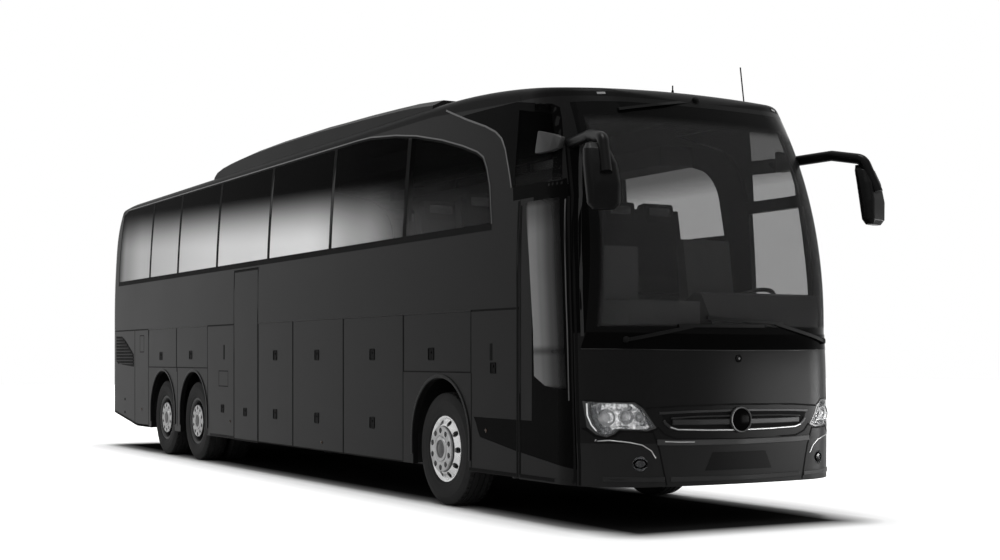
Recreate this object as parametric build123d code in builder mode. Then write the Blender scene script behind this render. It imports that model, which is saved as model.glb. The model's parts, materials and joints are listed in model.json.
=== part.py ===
from build123d import *
import os
from math import asin, atan2, cos, degrees, pi, radians, sin, sqrt

os.makedirs("parts", exist_ok=True)

# A three-axle touring coach. Millimetres, +X forward, +Y to the vehicle's left, +Z up, floor at Z = 0.
# The origin is under the middle of the overall length. Places along the body are given ahead of the front
# axle.

# Overall sizes
overall_length = 14130
front_overhang = 2700
wheelbase = 7080
tag_spacing = 1350
rear_overhang = 2800
half_width = 1275
wall = 50
seam = 7
fit = 0.3
hinge_bead = 6

front_axle_x = -overall_length / 2 + hinge_bead + rear_overhang + tag_spacing + wheelbase
drive_axle_x = front_axle_x - wheelbase
tag_axle_x = drive_axle_x - tag_spacing
nose_x = front_axle_x + front_overhang
tail_x = tag_axle_x - rear_overhang


def ahead(distance):
    """X of a place given ahead of the front axle."""
    return front_axle_x + distance


# Body shape: plan corners, and the heights at which the faces begin to lean in
nose_radius = 5000
corner_radius = 617
rear_corner_radius = 380
body_bottom = 340
lean_start_z = 1900
lean_radius = 15400
screen_start_z = 1600
screen_radius = 3600
chin_z = 700
chin_setback = 35
chin_rise = 900
rear_lean_z = 3000
rear_lean_radius = 850
section_heights = [
    250, 475, 700, 925, 1150, 1375, 1600, 1800, 2000, 2200, 2400, 2600, 2800, 3000, 3200, 3400, 3600, 3800
]

# Roof line, at the centre
roof_rear_z = 3660
roof_front_z = 3700
roof_rear_arc_x = -10000
roof_front_arc_x = -300
roof_rear_radius = 8000
roof_front_radius = 14000
roof_edge_radius = 300
roof_crown_radius = 15000
roof_edge_fillet = 80
roof_thickness = 50
front_slope_angle = 9.4
brow_angle = 36
roof_run_out = 700
rear_slope_angle = 11.5

# Side: heights
skirt_z = 350
tail_skirt_z = 506
belt_z = 1740
window_bottom = 2450
window_top = 3530
hatch_bottom = 1200
roof_seam_z = 3552
roof_seam_front_z = 3425
roof_seam_tail_z = 3440

# Wheels
tyre_radius = 512
tyre_half_width = 145
bead_radius = 286
rim_flange_radius = 298
rim_half_width = 128
wheel_y = 1090
twin_spacing = 330
arch_half_width = 550
arch_centre_z = 600
kingpin_y = 930

# Deck
deck_top = 1620
deck_thickness = 60
cab_floor_top = 1060


def arc_drop(radius, run):
    """Fall of a circle of that radius at a distance along its tangent."""
    return radius - sqrt(radius**2 - run**2) if run > 0 else 0


def nose_setback(z):
    """How far the nose stands behind its foremost point at height z."""
    chin = chin_setback * min(1, abs(z - chin_z) / chin_rise) ** 2
    return chin + arc_drop(screen_radius, z - screen_start_z)


def plan_section(z, inset):
    """Plan outline of the body at height z, inset all round."""
    nose = nose_x - nose_setback(z) - inset
    half = half_width - arc_drop(lean_radius, z - lean_start_z) - inset
    tail = tail_x + arc_drop(rear_lean_radius, z - rear_lean_z) + inset
    big = nose_radius - inset
    small = corner_radius - inset
    rear = rear_corner_radius - inset
    big_x = nose - big
    corner_x = big_x + sqrt((big - small) ** 2 - (half - small) ** 2)
    turn = atan2(half - small, corner_x - big_x)
    join = (big_x + big * cos(turn), big * sin(turn))
    middle = (turn + pi / 2) / 2
    shoulder = (corner_x + small * cos(middle), half - small + small * sin(middle))
    rear_shoulder = rear * (1 - sqrt(0.5))
    with BuildSketch(Plane.XY.offset(z)) as section:
        with BuildLine():
            ThreePointArc((join[0], -join[1]), (nose, 0), join)
            ThreePointArc(join, shoulder, (corner_x, half))
            Line((corner_x, half), (tail + rear, half))
            ThreePointArc(
                (tail + rear, half), (tail + rear_shoulder, half - rear_shoulder), (tail, half - rear)
            )
            Line((tail, half - rear), (tail, rear - half))
            ThreePointArc(
                (tail, rear - half), (tail + rear_shoulder, rear_shoulder - half), (tail + rear, -half)
            )
            Line((tail + rear, -half), (corner_x, -half))
            ThreePointArc((corner_x, -half), (shoulder[0], -shoulder[1]), (join[0], -join[1]))
        make_face()
    return section.sketch


def above_roof(drop):
    """Everything above a line that runs a given drop below the roof, crowned across."""
    with BuildPart() as sky:
        with BuildLine(Plane.XZ) as roof_line:
            middle = Line(
                (ahead(roof_rear_arc_x), roof_rear_z - drop),
                (ahead(roof_front_arc_x) - drop, roof_front_z - drop)
            )
            JernArc(middle @ 0, -(middle % 0), roof_rear_radius, rear_slope_angle)
            slope = JernArc(middle @ 1, middle % 1, roof_front_radius, -front_slope_angle)
            brow = JernArc(slope @ 1, slope % 1, roof_edge_radius, -brow_angle)
            Line(brow @ 1, (brow @ 1) + (brow % 1) * roof_run_out)
        route = roof_line.wires()[0]
        reach = 1600
        sag = arc_drop(roof_crown_radius, reach)
        with BuildSketch(Plane(origin=route @ 0, x_dir=(0, 1, 0), z_dir=route % 0)):
            with BuildLine():
                ThreePointArc((-reach, -sag), (0, 0), (reach, -sag))
                Polyline((reach, -sag), (reach, 1200), (-reach, 1200), (-reach, -sag))
            make_face()
        sweep(path=route)
    return sky.part


def hull(inset, drop):
    """Solid body, inset all round and dropped at the roof."""
    with BuildPart() as body:
        for z in section_heights:
            add(plan_section(z, inset))
        loft()
        add(above_roof(drop), mode=Mode.SUBTRACT)
    return body.part


with BuildPart() as outer_hull:
    add(hull(0, 0))
    roof_faces = outer_hull.faces().filter_by(lambda face: face.normal_at().Z > 0.6)
    roof_edges = roof_faces.edges()
    rim_edges = [edge for edge in roof_edges if sum(other.is_same(edge) for other in roof_edges) == 1]
    fillet(rim_edges, roof_edge_fillet)

inner_hull = hull(wall, roof_thickness)
lining = hull(wall + 0.5, roof_thickness + 0.5)
glass_back = hull(12, roof_thickness)

with BuildPart() as shell:
    add(outer_hull.part)
    add(inner_hull, mode=Mode.SUBTRACT)
    with Locations((0, 0, body_bottom / 2)):
        Box(2 * overall_length, 4 * half_width, body_bottom, mode=Mode.SUBTRACT)

with BuildPart() as skin:
    add(outer_hull.part)
    add(glass_back, mode=Mode.SUBTRACT)


def through_side(profile, side, near=880, far=1600):
    """Carry an X-Z profile through one side: side -1 is the right, 1 the left."""
    start = near if side < 0 else -far
    with BuildPart() as cut:
        with BuildSketch(Plane.XZ.offset(start)):
            add(profile)
        extrude(amount=far - near)
    return cut.part


def through_front(profile, start, depth):
    """Carry a Y-Z profile forward from a place ahead of the front axle."""
    with BuildPart() as cut:
        with BuildSketch(Plane.YZ.offset(ahead(start))):
            add(profile)
        extrude(amount=depth)
    return cut.part


def through_rear(profile, depth=700):
    """Carry a Y-Z profile through the tail."""
    with BuildPart() as cut:
        with BuildSketch(Plane.YZ.offset(tail_x - 100)):
            add(profile)
        extrude(amount=depth)
    return cut.part


def rectangle_between(x0, x1, z0, z1, shrink=0):
    """Rectangle given by its limits, all of them drawn in by shrink."""
    with BuildSketch() as area:
        with Locations(((x0 + x1) / 2, (z0 + z1) / 2)):
            Rectangle(abs(x1 - x0) - 2 * shrink, z1 - z0 - 2 * shrink)
    return area.sketch


def polygon(points, shrink=0):
    """Face inside a closed run of points."""
    with BuildSketch() as area:
        with BuildLine():
            Polyline(*points, close=True)
        make_face()
        if shrink:
            offset(amount=-shrink, kind=Kind.INTERSECTION)
    return area.sketch


# Seams in the side view: up the front corner, along the roof from the front, and down the rear corner
front_seam_points = [
    (2255, 0), (2255, 500), (2217, 1330), (2181, 2000), (2104, 2600), (2050, 2790), (1960, 3080)
]
front_seam = [(ahead(x), z) for x, z in front_seam_points]
roof_seam = [(ahead(1800), roof_seam_front_z + 10), (ahead(-300), roof_seam_z),
             (ahead(-10500), roof_seam_z),
             (ahead(-10760), roof_seam_tail_z)]
tail_seam = [(ahead(-10800), 3300), (ahead(-10850), 2900), (ahead(-10860), 2400)]

# Side windows: the band, its curved front end and the pillars between the panes
window_pillars = [-9075, -7775, -6170, -4364, -2551, -759]
pillar_width = 70
band_rear = -10690
band_front = 930


def main_windows(shrink):
    """Side panes: one band with a falling front end, cut by the pillars."""
    with BuildSketch() as panes:
        with BuildLine():
            sill = Line((ahead(band_rear), window_bottom), (ahead(band_front), window_bottom))
            front = Line(sill @ 1, (ahead(873), 2779))
            bend = ThreePointArc(front @ 1, (ahead(815), 2943), (ahead(620), 3105))
            fall = ThreePointArc(bend @ 1, (ahead(-550), 3385), (ahead(-2000), window_top))
            top = Polyline(fall @ 1, (ahead(-10400), window_top), (ahead(-10640), window_top - 60))
            ThreePointArc(top @ 1, (ahead(-10682), 3020), sill @ 0)
        make_face()
        for x in window_pillars:
            with Locations((ahead(x), window_bottom)):
                Rectangle(pillar_width, 3000, mode=Mode.SUBTRACT)
        if shrink:
            offset(amount=-shrink, kind=Kind.INTERSECTION)
    return panes.sketch


def upper_front_window(shrink):
    """Pane above the front door, behind the hoop."""
    with BuildSketch() as pane:
        with BuildLine():
            sill = Line((ahead(1262), 2745), (ahead(2010), 2745))
            crown = Polyline(
                sill @ 1, (ahead(1900), 3060), (ahead(1765), 3370), (ahead(1250), 3450), (ahead(250), 3470),
                (ahead(930), 3253)
            )
            bend = ThreePointArc(crown @ 1, (ahead(1120), 3083), (ahead(1230), 2835))
            Line(bend @ 1, sill @ 0)
        make_face()
        if shrink:
            offset(amount=-shrink, kind=Kind.INTERSECTION)
    return pane.sketch


front_door_glass_points = [(1507, 2600), (1587, 2126), (1651, 1557), (1667, 1186), (1840, 1110),
                           (2150, 1080),
                           (2120, 1330), (2085, 2000), (2005, 2600)]
driver_window_points = [(1330, 1790), (2110, 1700), (2085, 2000), (2000, 2640), (1290, 2640)]
front_door_glass_outline = [(ahead(x), z) for x, z in front_door_glass_points]
driver_window_outline = [(ahead(x), z) for x, z in driver_window_points]

# Doors, as side-view outlines
door_bottom = body_bottom - 20
front_door_top = 2702
front_door_outline = [(ahead(1420), door_bottom),
                      (ahead(2255), door_bottom), *front_seam[1:-2], (ahead(2080), front_door_top),
                      (ahead(1420), front_door_top)]
mid_door_outline = [
    (ahead(-5520), door_bottom), (ahead(-4670), door_bottom), (ahead(-4670), 2395), (ahead(-5520), 2395)
]

# Side flaps: name, side, rear seam, front seam and bottom edge
flaps = [
    ("flap_right_front", -1, -2180, -760, skirt_z),
    ("flap_right_middle", -1, -3576, -2180, skirt_z),
    ("flap_right_rear", -1, -4670, -3576, skirt_z),
    ("flap_left_front", 1, -2180, -760, skirt_z),
    ("flap_left_middle", 1, -3576, -2180, skirt_z),
    ("flap_left_rear", 1, -5520, -3576, skirt_z),
    ("hatch_right_front", -1, -760, 598, hatch_bottom),
    ("hatch_right_drive", -1, -7800, -6497, hatch_bottom),
    ("hatch_right_tag", -1, -9110, -7800, hatch_bottom),
    ("hatch_left_front", 1, -760, 598, hatch_bottom),
    ("hatch_left_drive", 1, -7800, -6497, hatch_bottom),
    ("hatch_left_tag", 1, -9110, -7800, hatch_bottom),
]
flap_top = belt_z - 4
flap_opening_top = belt_z + hinge_bead + fit


def side_wall(side):
    """One side of the body with its windows, door, flap and arch openings."""
    with BuildSketch() as profile:
        with BuildLine():
            Polyline(
                (ahead(-10860), tail_skirt_z), (ahead(-9670), skirt_z), (ahead(2255), skirt_z),
                *front_seam[1:],
                *roof_seam, *tail_seam, close=True,
            )
        make_face()
        add(main_windows(0), mode=Mode.SUBTRACT)
        add(upper_front_window(0), mode=Mode.SUBTRACT)
        for x in (0, -wheelbase, -wheelbase - tag_spacing):
            with Locations((ahead(x), arch_centre_z)):
                Circle(arch_half_width, mode=Mode.SUBTRACT)
            with Locations((ahead(x), arch_centre_z - 500)):
                Rectangle(2 * arch_half_width, 1000, mode=Mode.SUBTRACT)
        for name, flap_side, rear, front, bottom in flaps:
            if flap_side == side:
                low = bottom if bottom > skirt_z else 0
                add(rectangle_between(ahead(rear), ahead(front), low, flap_opening_top), mode=Mode.SUBTRACT)
        if side < 0:
            add(polygon(front_door_outline), mode=Mode.SUBTRACT)
            add(polygon(mid_door_outline), mode=Mode.SUBTRACT)
        else:
            add(polygon(driver_window_outline), mode=Mode.SUBTRACT)
    with BuildPart() as panel:
        add(shell.part)
        add(through_side(profile.sketch, side), mode=Mode.INTERSECT)
    return panel.part


with BuildPart() as side_wall_right:
    add(side_wall(-1))
side_wall_right.part.label = "side_wall_right"
export_step(side_wall_right.part, "parts/side_wall_right.step")

with BuildPart() as side_wall_left:
    add(side_wall(1))
side_wall_left.part.label = "side_wall_left"
export_step(side_wall_left.part, "parts/side_wall_left.step")

# Flaps and hatches: each is a wall panel with a hinge bead along its top edge
for name, side, rear, front, bottom in flaps:
    with BuildPart() as flap:
        add(shell.part)
        add(through_side(rectangle_between(ahead(rear) + seam / 2, ahead(front) - seam / 2, bottom,
            flap_top), side),
            mode=Mode.INTERSECT)
        with Locations((ahead((rear + front) / 2), side * half_width, belt_z)):
            Cylinder(hinge_bead, front - rear - seam, rotation=(0, 90, 0))
    flap.part.label = name
    export_step(flap.part, f"parts/{name}.step")

# Roof: the cap above the side seams
with BuildSketch() as roof_profile:
    with BuildLine():
        Polyline(
            (ahead(2500), 4000), (ahead(2500), roof_seam_front_z - 30), *roof_seam,
            (ahead(-11500), roof_seam_tail_z),
            (ahead(-11500), 4000), close=True,
        )
    make_face()
with BuildPart() as roof:
    add(shell.part)
    add(through_side(roof_profile.sketch, -1, near=-1600), mode=Mode.INTERSECT)
roof.part.label = "roof"
export_step(roof.part, "parts/roof.step")

# Windscreen opening, in the front view
screen_foot_z = 1500
screen_head_z = 3375
screen_outline = [
    (-1195, screen_foot_z), (1195, screen_foot_z), (1085, screen_head_z), (-1085, screen_head_z)
]
screen_cut_start = 1500

front_region = [*front_seam, *roof_seam[:1], (ahead(2500), roof_seam_front_z - 30),
                (ahead(3000), roof_seam_front_z - 30),
                (ahead(3000), 0)]


def front_piece(low, high):
    """Part of the shell ahead of the front seam, between two heights."""
    with BuildPart() as piece:
        add(shell.part)
        add(through_side(polygon(front_region), -1, near=-1600), mode=Mode.INTERSECT)
        add(
            through_side(rectangle_between(ahead(0), ahead(3000), low, high), -1, near=-1600),
            mode=Mode.INTERSECT
        )
    return piece.part


with BuildPart() as front_frame:
    add(front_piece(screen_foot_z - 20, roof_seam_front_z + 10))
    add(through_front(polygon(screen_outline), screen_cut_start, 1500), mode=Mode.SUBTRACT)
front_frame.part.label = "front_frame"
export_step(front_frame.part, "parts/front_frame.step")

with BuildPart() as windscreen:
    add(skin.part)
    add(through_front(polygon(screen_outline, fit), screen_cut_start, 1500), mode=Mode.INTERSECT)
windscreen.part.label = "windscreen"
export_step(windscreen.part, "parts/windscreen.step")

# Front panel, bumper, grille and lamp openings
bumper_top = 674
panel_low = 330
lamp_points = [(1207, 992), (925, 984), (868, 940), (770, 797), (835, 777), (1030, 786), (1062, 752),
               (1100, 730),
               (1150, 748), (1190, 800)]
grille_points = [(-838, 950), (-745, 800), (-690, 745), (-600, 712), (0, 696), (600, 712), (690, 745),
                 (745, 800), (838, 950),
                 (560, 962), (0, 970), (-560, 962)]
fog_lamp_y = 885
fog_lamp_z = 520
fog_lamp_radius = 55


def lamp_outline(side, shrink):
    """Headlamp as seen from the front."""
    return polygon([(side * y, z) for y, z in lamp_points], shrink)


with BuildPart() as front_panel:
    add(front_piece(bumper_top, screen_foot_z - 20))
    for side in (-1, 1):
        add(through_front(lamp_outline(side, 0), 2000, 1000), mode=Mode.SUBTRACT)
    add(through_front(polygon(grille_points), 2000, 1000), mode=Mode.SUBTRACT)
front_panel.part.label = "front_panel"
export_step(front_panel.part, "parts/front_panel.step")

with BuildPart() as grille:
    add(skin.part)
    add(through_front(polygon(grille_points, fit), 2000, 1000), mode=Mode.INTERSECT)
grille.part.label = "grille"
export_step(grille.part, "parts/grille.step")

with BuildPart() as bumper:
    add(front_piece(panel_low, bumper_top))
    for side in (-1, 1):
        with BuildSketch(Plane.YZ.offset(ahead(2000))):
            with Locations((side * fog_lamp_y, fog_lamp_z)):
                Circle(fog_lamp_radius)
        extrude(amount=1000, mode=Mode.SUBTRACT)
bumper.part.label = "bumper"
export_step(bumper.part, "parts/bumper.step")

# Rear: wall, engine lid, window and lamps
lid_half_width = 800
lid_bottom = 620
lid_hinge_z = 1700
rear_window_outline = [(-860, 2480), (860, 2480), (800, 3330), (-800, 3330)]
tail_lamp_points = [(870, 1000), (1120, 1000), (1120, 1560), (870, 1560)]


def tail_lamp_outline(side, shrink):
    """Upright lamp cluster at a rear corner."""
    return polygon([(side * y, z) for y, z in tail_lamp_points], shrink)


with BuildPart() as rear_wall:
    add(shell.part)
    tail_outline = [
        roof_seam[-1], *tail_seam, (ahead(-10860), 0), (ahead(-11500), 0), (ahead(-11500), roof_seam_tail_z)
    ]
    add(through_side(polygon(tail_outline), -1, near=-1600), mode=Mode.INTERSECT)
    with BuildSketch(Plane.XZ.offset(-1600)):
        with Locations((ahead(-11200), 0)):
            Rectangle(800, 2 * tail_skirt_z)
    extrude(amount=3200, mode=Mode.SUBTRACT)
    add(through_rear(rectangle_between(-lid_half_width, lid_half_width, lid_bottom,
        lid_hinge_z + hinge_bead + fit), 300),
        mode=Mode.SUBTRACT)
    add(through_rear(polygon(rear_window_outline), 1500), mode=Mode.SUBTRACT)
    for side in (-1, 1):
        add(through_rear(tail_lamp_outline(side, 0), 420), mode=Mode.SUBTRACT)
rear_wall.part.label = "rear_wall"
export_step(rear_wall.part, "parts/rear_wall.step")

with BuildPart() as engine_lid:
    add(shell.part)
    add(through_rear(rectangle_between(-lid_half_width + seam, lid_half_width - seam, lid_bottom + seam,
        lid_hinge_z - 4), 300),
        mode=Mode.INTERSECT)
    with Locations((tail_x, 0, lid_hinge_z)):
        Cylinder(hinge_bead, 2 * (lid_half_width - seam), rotation=(90, 0, 0))
engine_lid.part.label = "engine_lid"
export_step(engine_lid.part, "parts/engine_lid.step")

# Fixed glass: side panes, the pane over the door, the driver's window and the rear window
def side_panes(side):
    """All fixed panes of one side, let into their openings."""
    with BuildSketch() as outlines:
        add(main_windows(fit))
        add(upper_front_window(fit))
        if side > 0:
            add(polygon(driver_window_outline, fit))
    with BuildPart() as panes:
        add(skin.part)
        add(through_side(outlines.sketch, side), mode=Mode.INTERSECT)
    return panes.part


def rear_pane():
    """Rear window, let into its opening."""
    with BuildPart() as pane:
        add(skin.part)
        add(through_rear(polygon(rear_window_outline, fit), 1500), mode=Mode.INTERSECT)
    return pane.part


with BuildPart() as body_glass:
    add(side_panes(-1))
    add(side_panes(1))
    add(rear_pane())
body_glass.part.label = "body_glass"
export_step(body_glass.part, "parts/body_glass.step")


# Lamps: headlamps, fog lamps and tail lamps
def lamp_limits(side):
    """Region of the skin that one side's lamps take up."""
    with BuildPart() as limits:
        add(through_front(lamp_outline(side, fit), 2100, 800))
        add(through_rear(tail_lamp_outline(side, fit), 420))
        with BuildSketch(Plane.YZ.offset(ahead(2100))):
            with Locations((side * fog_lamp_y, fog_lamp_z)):
                Circle(fog_lamp_radius - fit)
        extrude(amount=800)
    return limits.part


with BuildPart() as lamps:
    add(lamp_limits(-1))
    add(lamp_limits(1))
    add(skin.part, mode=Mode.INTERSECT)
lamps.part.label = "lamps"
export_step(lamps.part, "parts/lamps.step")

# Air-conditioning unit on the roof: ridge height and place of each cross-section
unit_half_width = 1165
unit_side_lean = 20
unit_shoulder_width = 115
unit_shoulder_drop = 60
unit_foot_z = 3500
unit_sections = [(-6680, 3640), (-6600, 3715), (-6500, 3757), (-6280, 3790), (-5980, 3813), (-5270, 3840),
                 (-4440, 3850),
                 (-3100, 3841), (-2700, 3830), (-1930, 3812), (-1350, 3792), (-900, 3774), (-560, 3748),
                 (-400, 3735)]


def unit_section(x, ridge_z):
    """Cross-section of the roof unit: upright sides, a sloping shoulder and a flat top."""
    shoulder_y = unit_half_width - unit_side_lean
    shoulder_z = ridge_z - unit_shoulder_drop
    ridge_y = shoulder_y - unit_shoulder_width
    with BuildSketch(Plane.YZ.offset(ahead(x))) as section:
        with BuildLine():
            Polyline(
                (-unit_half_width, unit_foot_z), (unit_half_width, unit_foot_z), (shoulder_y, shoulder_z),
                (ridge_y, ridge_z),
                (-ridge_y, ridge_z), (-shoulder_y, shoulder_z), close=True,
            )
        make_face()
    return section.sketch


with BuildPart() as roof_unit:
    for x, ridge_z in unit_sections:
        add(unit_section(x, ridge_z))
    loft(ruled=True)
    add(outer_hull.part, mode=Mode.SUBTRACT)
roof_unit.part.label = "roof_unit"
export_step(roof_unit.part, "parts/roof_unit.step")

# Deck: passenger floor, cab floor and the two stairwells
deck_front = 1270
deck_rear = -10780
cab_floor_front = 2330
cab_floor_right = -240
mid_stair_rear = -5545
mid_stair_front = -4645
mid_stair_left = -450
stair_outer_y = -1205
step_height = 240
stair_foot = 400
step_thickness = 40


def in_body(x0, x1, y0, y1, z0, z1):
    """Block between limits ahead of the front axle, trimmed to the inside of the body."""
    with BuildPart() as block:
        with Locations((ahead((x0 + x1) / 2), (y0 + y1) / 2, (z0 + z1) / 2)):
            Box(abs(x1 - x0), y1 - y0, z1 - z0)
        add(lining, mode=Mode.INTERSECT)
    return block.part


def staircase(x0, x1, inner_y, bottom, top):
    """Flight of steps that rises towards the middle of the body."""
    count = round((top - bottom) / step_height)
    rise = (top - bottom) / count
    tread = (inner_y - stair_outer_y) / (count - 1)
    with BuildPart() as flight:
        with BuildSketch(Plane.YZ.offset(ahead(x0))):
            for step in range(count):
                tread_y = stair_outer_y + step * tread
                riser_y = min(tread_y + tread, inner_y)
                z = bottom + step * rise
                if step < count - 1:
                    with Locations((tread_y + tread / 2, z - step_thickness / 2)):
                        Rectangle(tread, step_thickness)
                with Locations((riser_y + step_thickness / 2, z + rise / 2 - step_thickness / 2)):
                    Rectangle(step_thickness, rise + step_thickness)
        extrude(amount=x1 - x0)
    return flight.part


with BuildPart() as floor:
    add(in_body(deck_rear, deck_front, -half_width, half_width, deck_top - deck_thickness, deck_top))
    with Locations(
        (ahead((mid_stair_rear + mid_stair_front) / 2), (mid_stair_left - half_width) / 2, deck_top)
    ):
        Box(mid_stair_front - mid_stair_rear, mid_stair_left + half_width, 400, mode=Mode.SUBTRACT)
    add(
        in_body(
            deck_front - 40, cab_floor_front, cab_floor_right, half_width, cab_floor_top - deck_thickness,
            cab_floor_top
        )
    )
    add(in_body(deck_front - 40, deck_front, cab_floor_right, half_width, cab_floor_top, deck_top))
    add(in_body(deck_front - 40, deck_front, -half_width, cab_floor_right + 40, 330, deck_top))
    add(staircase(deck_front - 1, 2150, cab_floor_right, stair_foot, cab_floor_top))
    add(staircase(mid_stair_rear, mid_stair_front, mid_stair_left, stair_foot, deck_top))
floor.part.label = "floor"
export_step(floor.part, "parts/floor.step")

# Wheel housings: boxes open below and outwards
housing_wall = 12
housing_top = 1195
axle_slot_half = 75
axle_slot_top = 575
# Housings: rear end, front end, inner wall, and the axles that pass through it
housings = [(-640, 640, 500, (0,)), (-9050, -6460, 560, (-wheelbase, -wheelbase - tag_spacing))]
with BuildPart() as wheel_housings:
    for rear, front, inner, axles in housings:
        for side in (-1, 1):
            with Locations(
                (
                    ahead((rear + front) / 2), side * (inner + half_width - wall) / 2,
                    (skirt_z + housing_top) / 2
                )
            ):
                Box(front - rear, half_width - wall - inner - 1, housing_top - skirt_z)
    for rear, front, inner, axles in housings:
        for side in (-1, 1):
            with Locations((ahead((rear + front) / 2), side * (inner + housing_wall + half_width) / 2,
                            (housing_top - housing_wall) / 2)):
                Box(front - rear - 2 * housing_wall, half_width - inner - housing_wall,
                    housing_top - housing_wall,
                    mode=Mode.SUBTRACT)
    for rear, front, inner, axles in housings:
        for x in axles:
            with Locations((ahead(x), 0, (skirt_z + axle_slot_top) / 2)):
                Box(
                    2 * axle_slot_half, 2 * (inner + housing_wall + 1), axle_slot_top - skirt_z,
                    mode=Mode.SUBTRACT
                )
wheel_housings.part.label = "wheel_housings"
export_step(wheel_housings.part, "parts/wheel_housings.step")

# Luggage bays: floor and bulkheads between the front and drive axles
bay_front = -700
bay_floor_bottom = 360
bay_floor_top = 400
bulkhead = 24
bulkheads = [-712, -2180, -3576, -4633, -5557]
bay_half_width = 1210
with BuildPart() as luggage_bays:
    for rear, front, right in (
        (mid_stair_front + fit, bay_front, -bay_half_width), (-5569, mid_stair_front + 1, -400)
    ):
        with Locations(
            (
                ahead((rear + front) / 2), (right + bay_half_width) / 2,
                (bay_floor_bottom + bay_floor_top) / 2
            )
        ):
            Box(front - rear, bay_half_width - right, bay_floor_top - bay_floor_bottom)
    for x in bulkheads:
        with Locations((ahead(x), 0, (bay_floor_bottom + deck_top - deck_thickness) / 2)):
            Box(bulkhead, 2 * bay_half_width, deck_top - deck_thickness - bay_floor_bottom)
    with Locations(
        (
            ahead((mid_stair_rear + mid_stair_front) / 2), -400 + bulkhead / 2,
            (bay_floor_bottom + deck_top - deck_thickness) / 2
        )
    ):
        Box(
            mid_stair_front - mid_stair_rear + 2 * fit, bulkhead,
            deck_top - deck_thickness - bay_floor_bottom
        )
luggage_bays.part.label = "luggage_bays"
export_step(luggage_bays.part, "parts/luggage_bays.step")

# Underframe: two pairs of rails with crossmembers, ahead of and behind the bays
rail_y = 430
rail_width = 90
rail_bottom = 640
rail_top = 900
rail_runs = [(-700, 1220, (-650, 660, 1180)), (-10700, -5569, (-5700, -6420, -9120, -10600))]
with BuildPart() as underframe:
    for rear, front, crossings in rail_runs:
        for side in (-1, 1):
            with Locations((ahead((rear + front) / 2), side * rail_y, (rail_bottom + rail_top) / 2)):
                Box(front - rear, rail_width, rail_top - rail_bottom)
        for x in crossings:
            with Locations((ahead(x), 0, (rail_bottom + rail_top) / 2)):
                Box(80, 2 * rail_y, rail_top - rail_bottom)
    for x in (700, 1180, -5700, -6400, -9110, -10600):
        for side in (-1, 1):
            with Locations(
                (
                    ahead(x), side * (rail_y + half_width - wall) / 2,
                    (rail_top - 60 + deck_top - deck_thickness) / 2
                )
            ):
                Box(60, half_width - wall - rail_y - 8, deck_top - deck_thickness - rail_top + 60)
underframe.part.label = "underframe"
export_step(underframe.part, "parts/underframe.step")

# Engine: one block between the rear rails
engine_half_width = rail_y - rail_width / 2 - fit
with BuildPart() as engine_block:
    with Locations((ahead(-9860), 0, 900)):
        Box(1380, 2 * engine_half_width, 900)
engine_block.part.label = "engine_block"
export_step(engine_block.part, "parts/engine_block.step")

# Axles: front beam with kingpins, drive axle with its housing, tag axle
boss_radius = 55
boss_bottom = 420
boss_top = 604
kingpin_radius = 22
lug_thickness = 34
spindle_radius = 42
front_spindle_reach = 140
with BuildPart() as front_axle:
    with Locations((front_axle_x, 0, 470)):
        Box(110, 2 * kingpin_y - boss_radius, 90)
    for side in (-1, 1):
        with Locations((front_axle_x, side * kingpin_y, (boss_bottom + boss_top) / 2)):
            Cylinder(boss_radius, boss_top - boss_bottom)
            Cylinder(kingpin_radius, boss_top - boss_bottom + 2 * lug_thickness)
        with Locations((front_axle_x, side * rail_y, (515 + rail_bottom) / 2)):
            Cylinder(60, rail_bottom - 515 - fit)
front_axle.part.label = "front_axle"
export_step(front_axle.part, "parts/front_axle.step")

for name, x, tube_radius, bulge in (("drive_axle", drive_axle_x, 85, 210), ("tag_axle", tag_axle_x, 70, 0)):
    with BuildPart() as axle:
        with Locations((x, 0, tyre_radius)):
            Cylinder(tube_radius, 2 * 560, rotation=(90, 0, 0))
            Cylinder(spindle_radius, 2 * wheel_y, rotation=(90, 0, 0))
            if bulge:
                Sphere(bulge)
        for side in (-1, 1):
            with Locations((x, side * rail_y, (tyre_radius + rail_bottom) / 2)):
                Cylinder(60, rail_bottom - tyre_radius - fit)
    axle.part.label = name
    export_step(axle.part, f"parts/{name}.step")

# Knuckles: two lugs over the kingpin, and the spindle that carries the wheel
sides = [("right", -1), ("left", 1)]
for name, side in sides:
    with BuildPart() as knuckle:
        for z in (boss_bottom - lug_thickness / 2 - fit, boss_top + lug_thickness / 2 + fit):
            with Locations((front_axle_x, side * kingpin_y, z)):
                Cylinder(boss_radius, lug_thickness)
            with Locations((front_axle_x, side * (kingpin_y + 40), z)):
                Box(2 * boss_radius, 80, lug_thickness)
        with Locations((front_axle_x, side * (kingpin_y + 72), tyre_radius)):
            Box(2 * boss_radius, 20, boss_top - boss_bottom + 2 * lug_thickness + 2 * fit)
        with Locations(
            (front_axle_x, side * (kingpin_y + 72 + wheel_y + front_spindle_reach) / 2, tyre_radius)
        ):
            Cylinder(spindle_radius, wheel_y + front_spindle_reach - kingpin_y - 72, rotation=(90, 0, 0))
        with Locations((front_axle_x, side * kingpin_y, tyre_radius)):
            Cylinder(kingpin_radius + fit, 400, mode=Mode.SUBTRACT)
            Cylinder(boss_radius + 8, boss_top - boss_bottom + 2 * fit, mode=Mode.SUBTRACT)
    knuckle.part.label = f"knuckle_{name}"
    export_step(knuckle.part, f"parts/knuckle_{name}.step")

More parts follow.
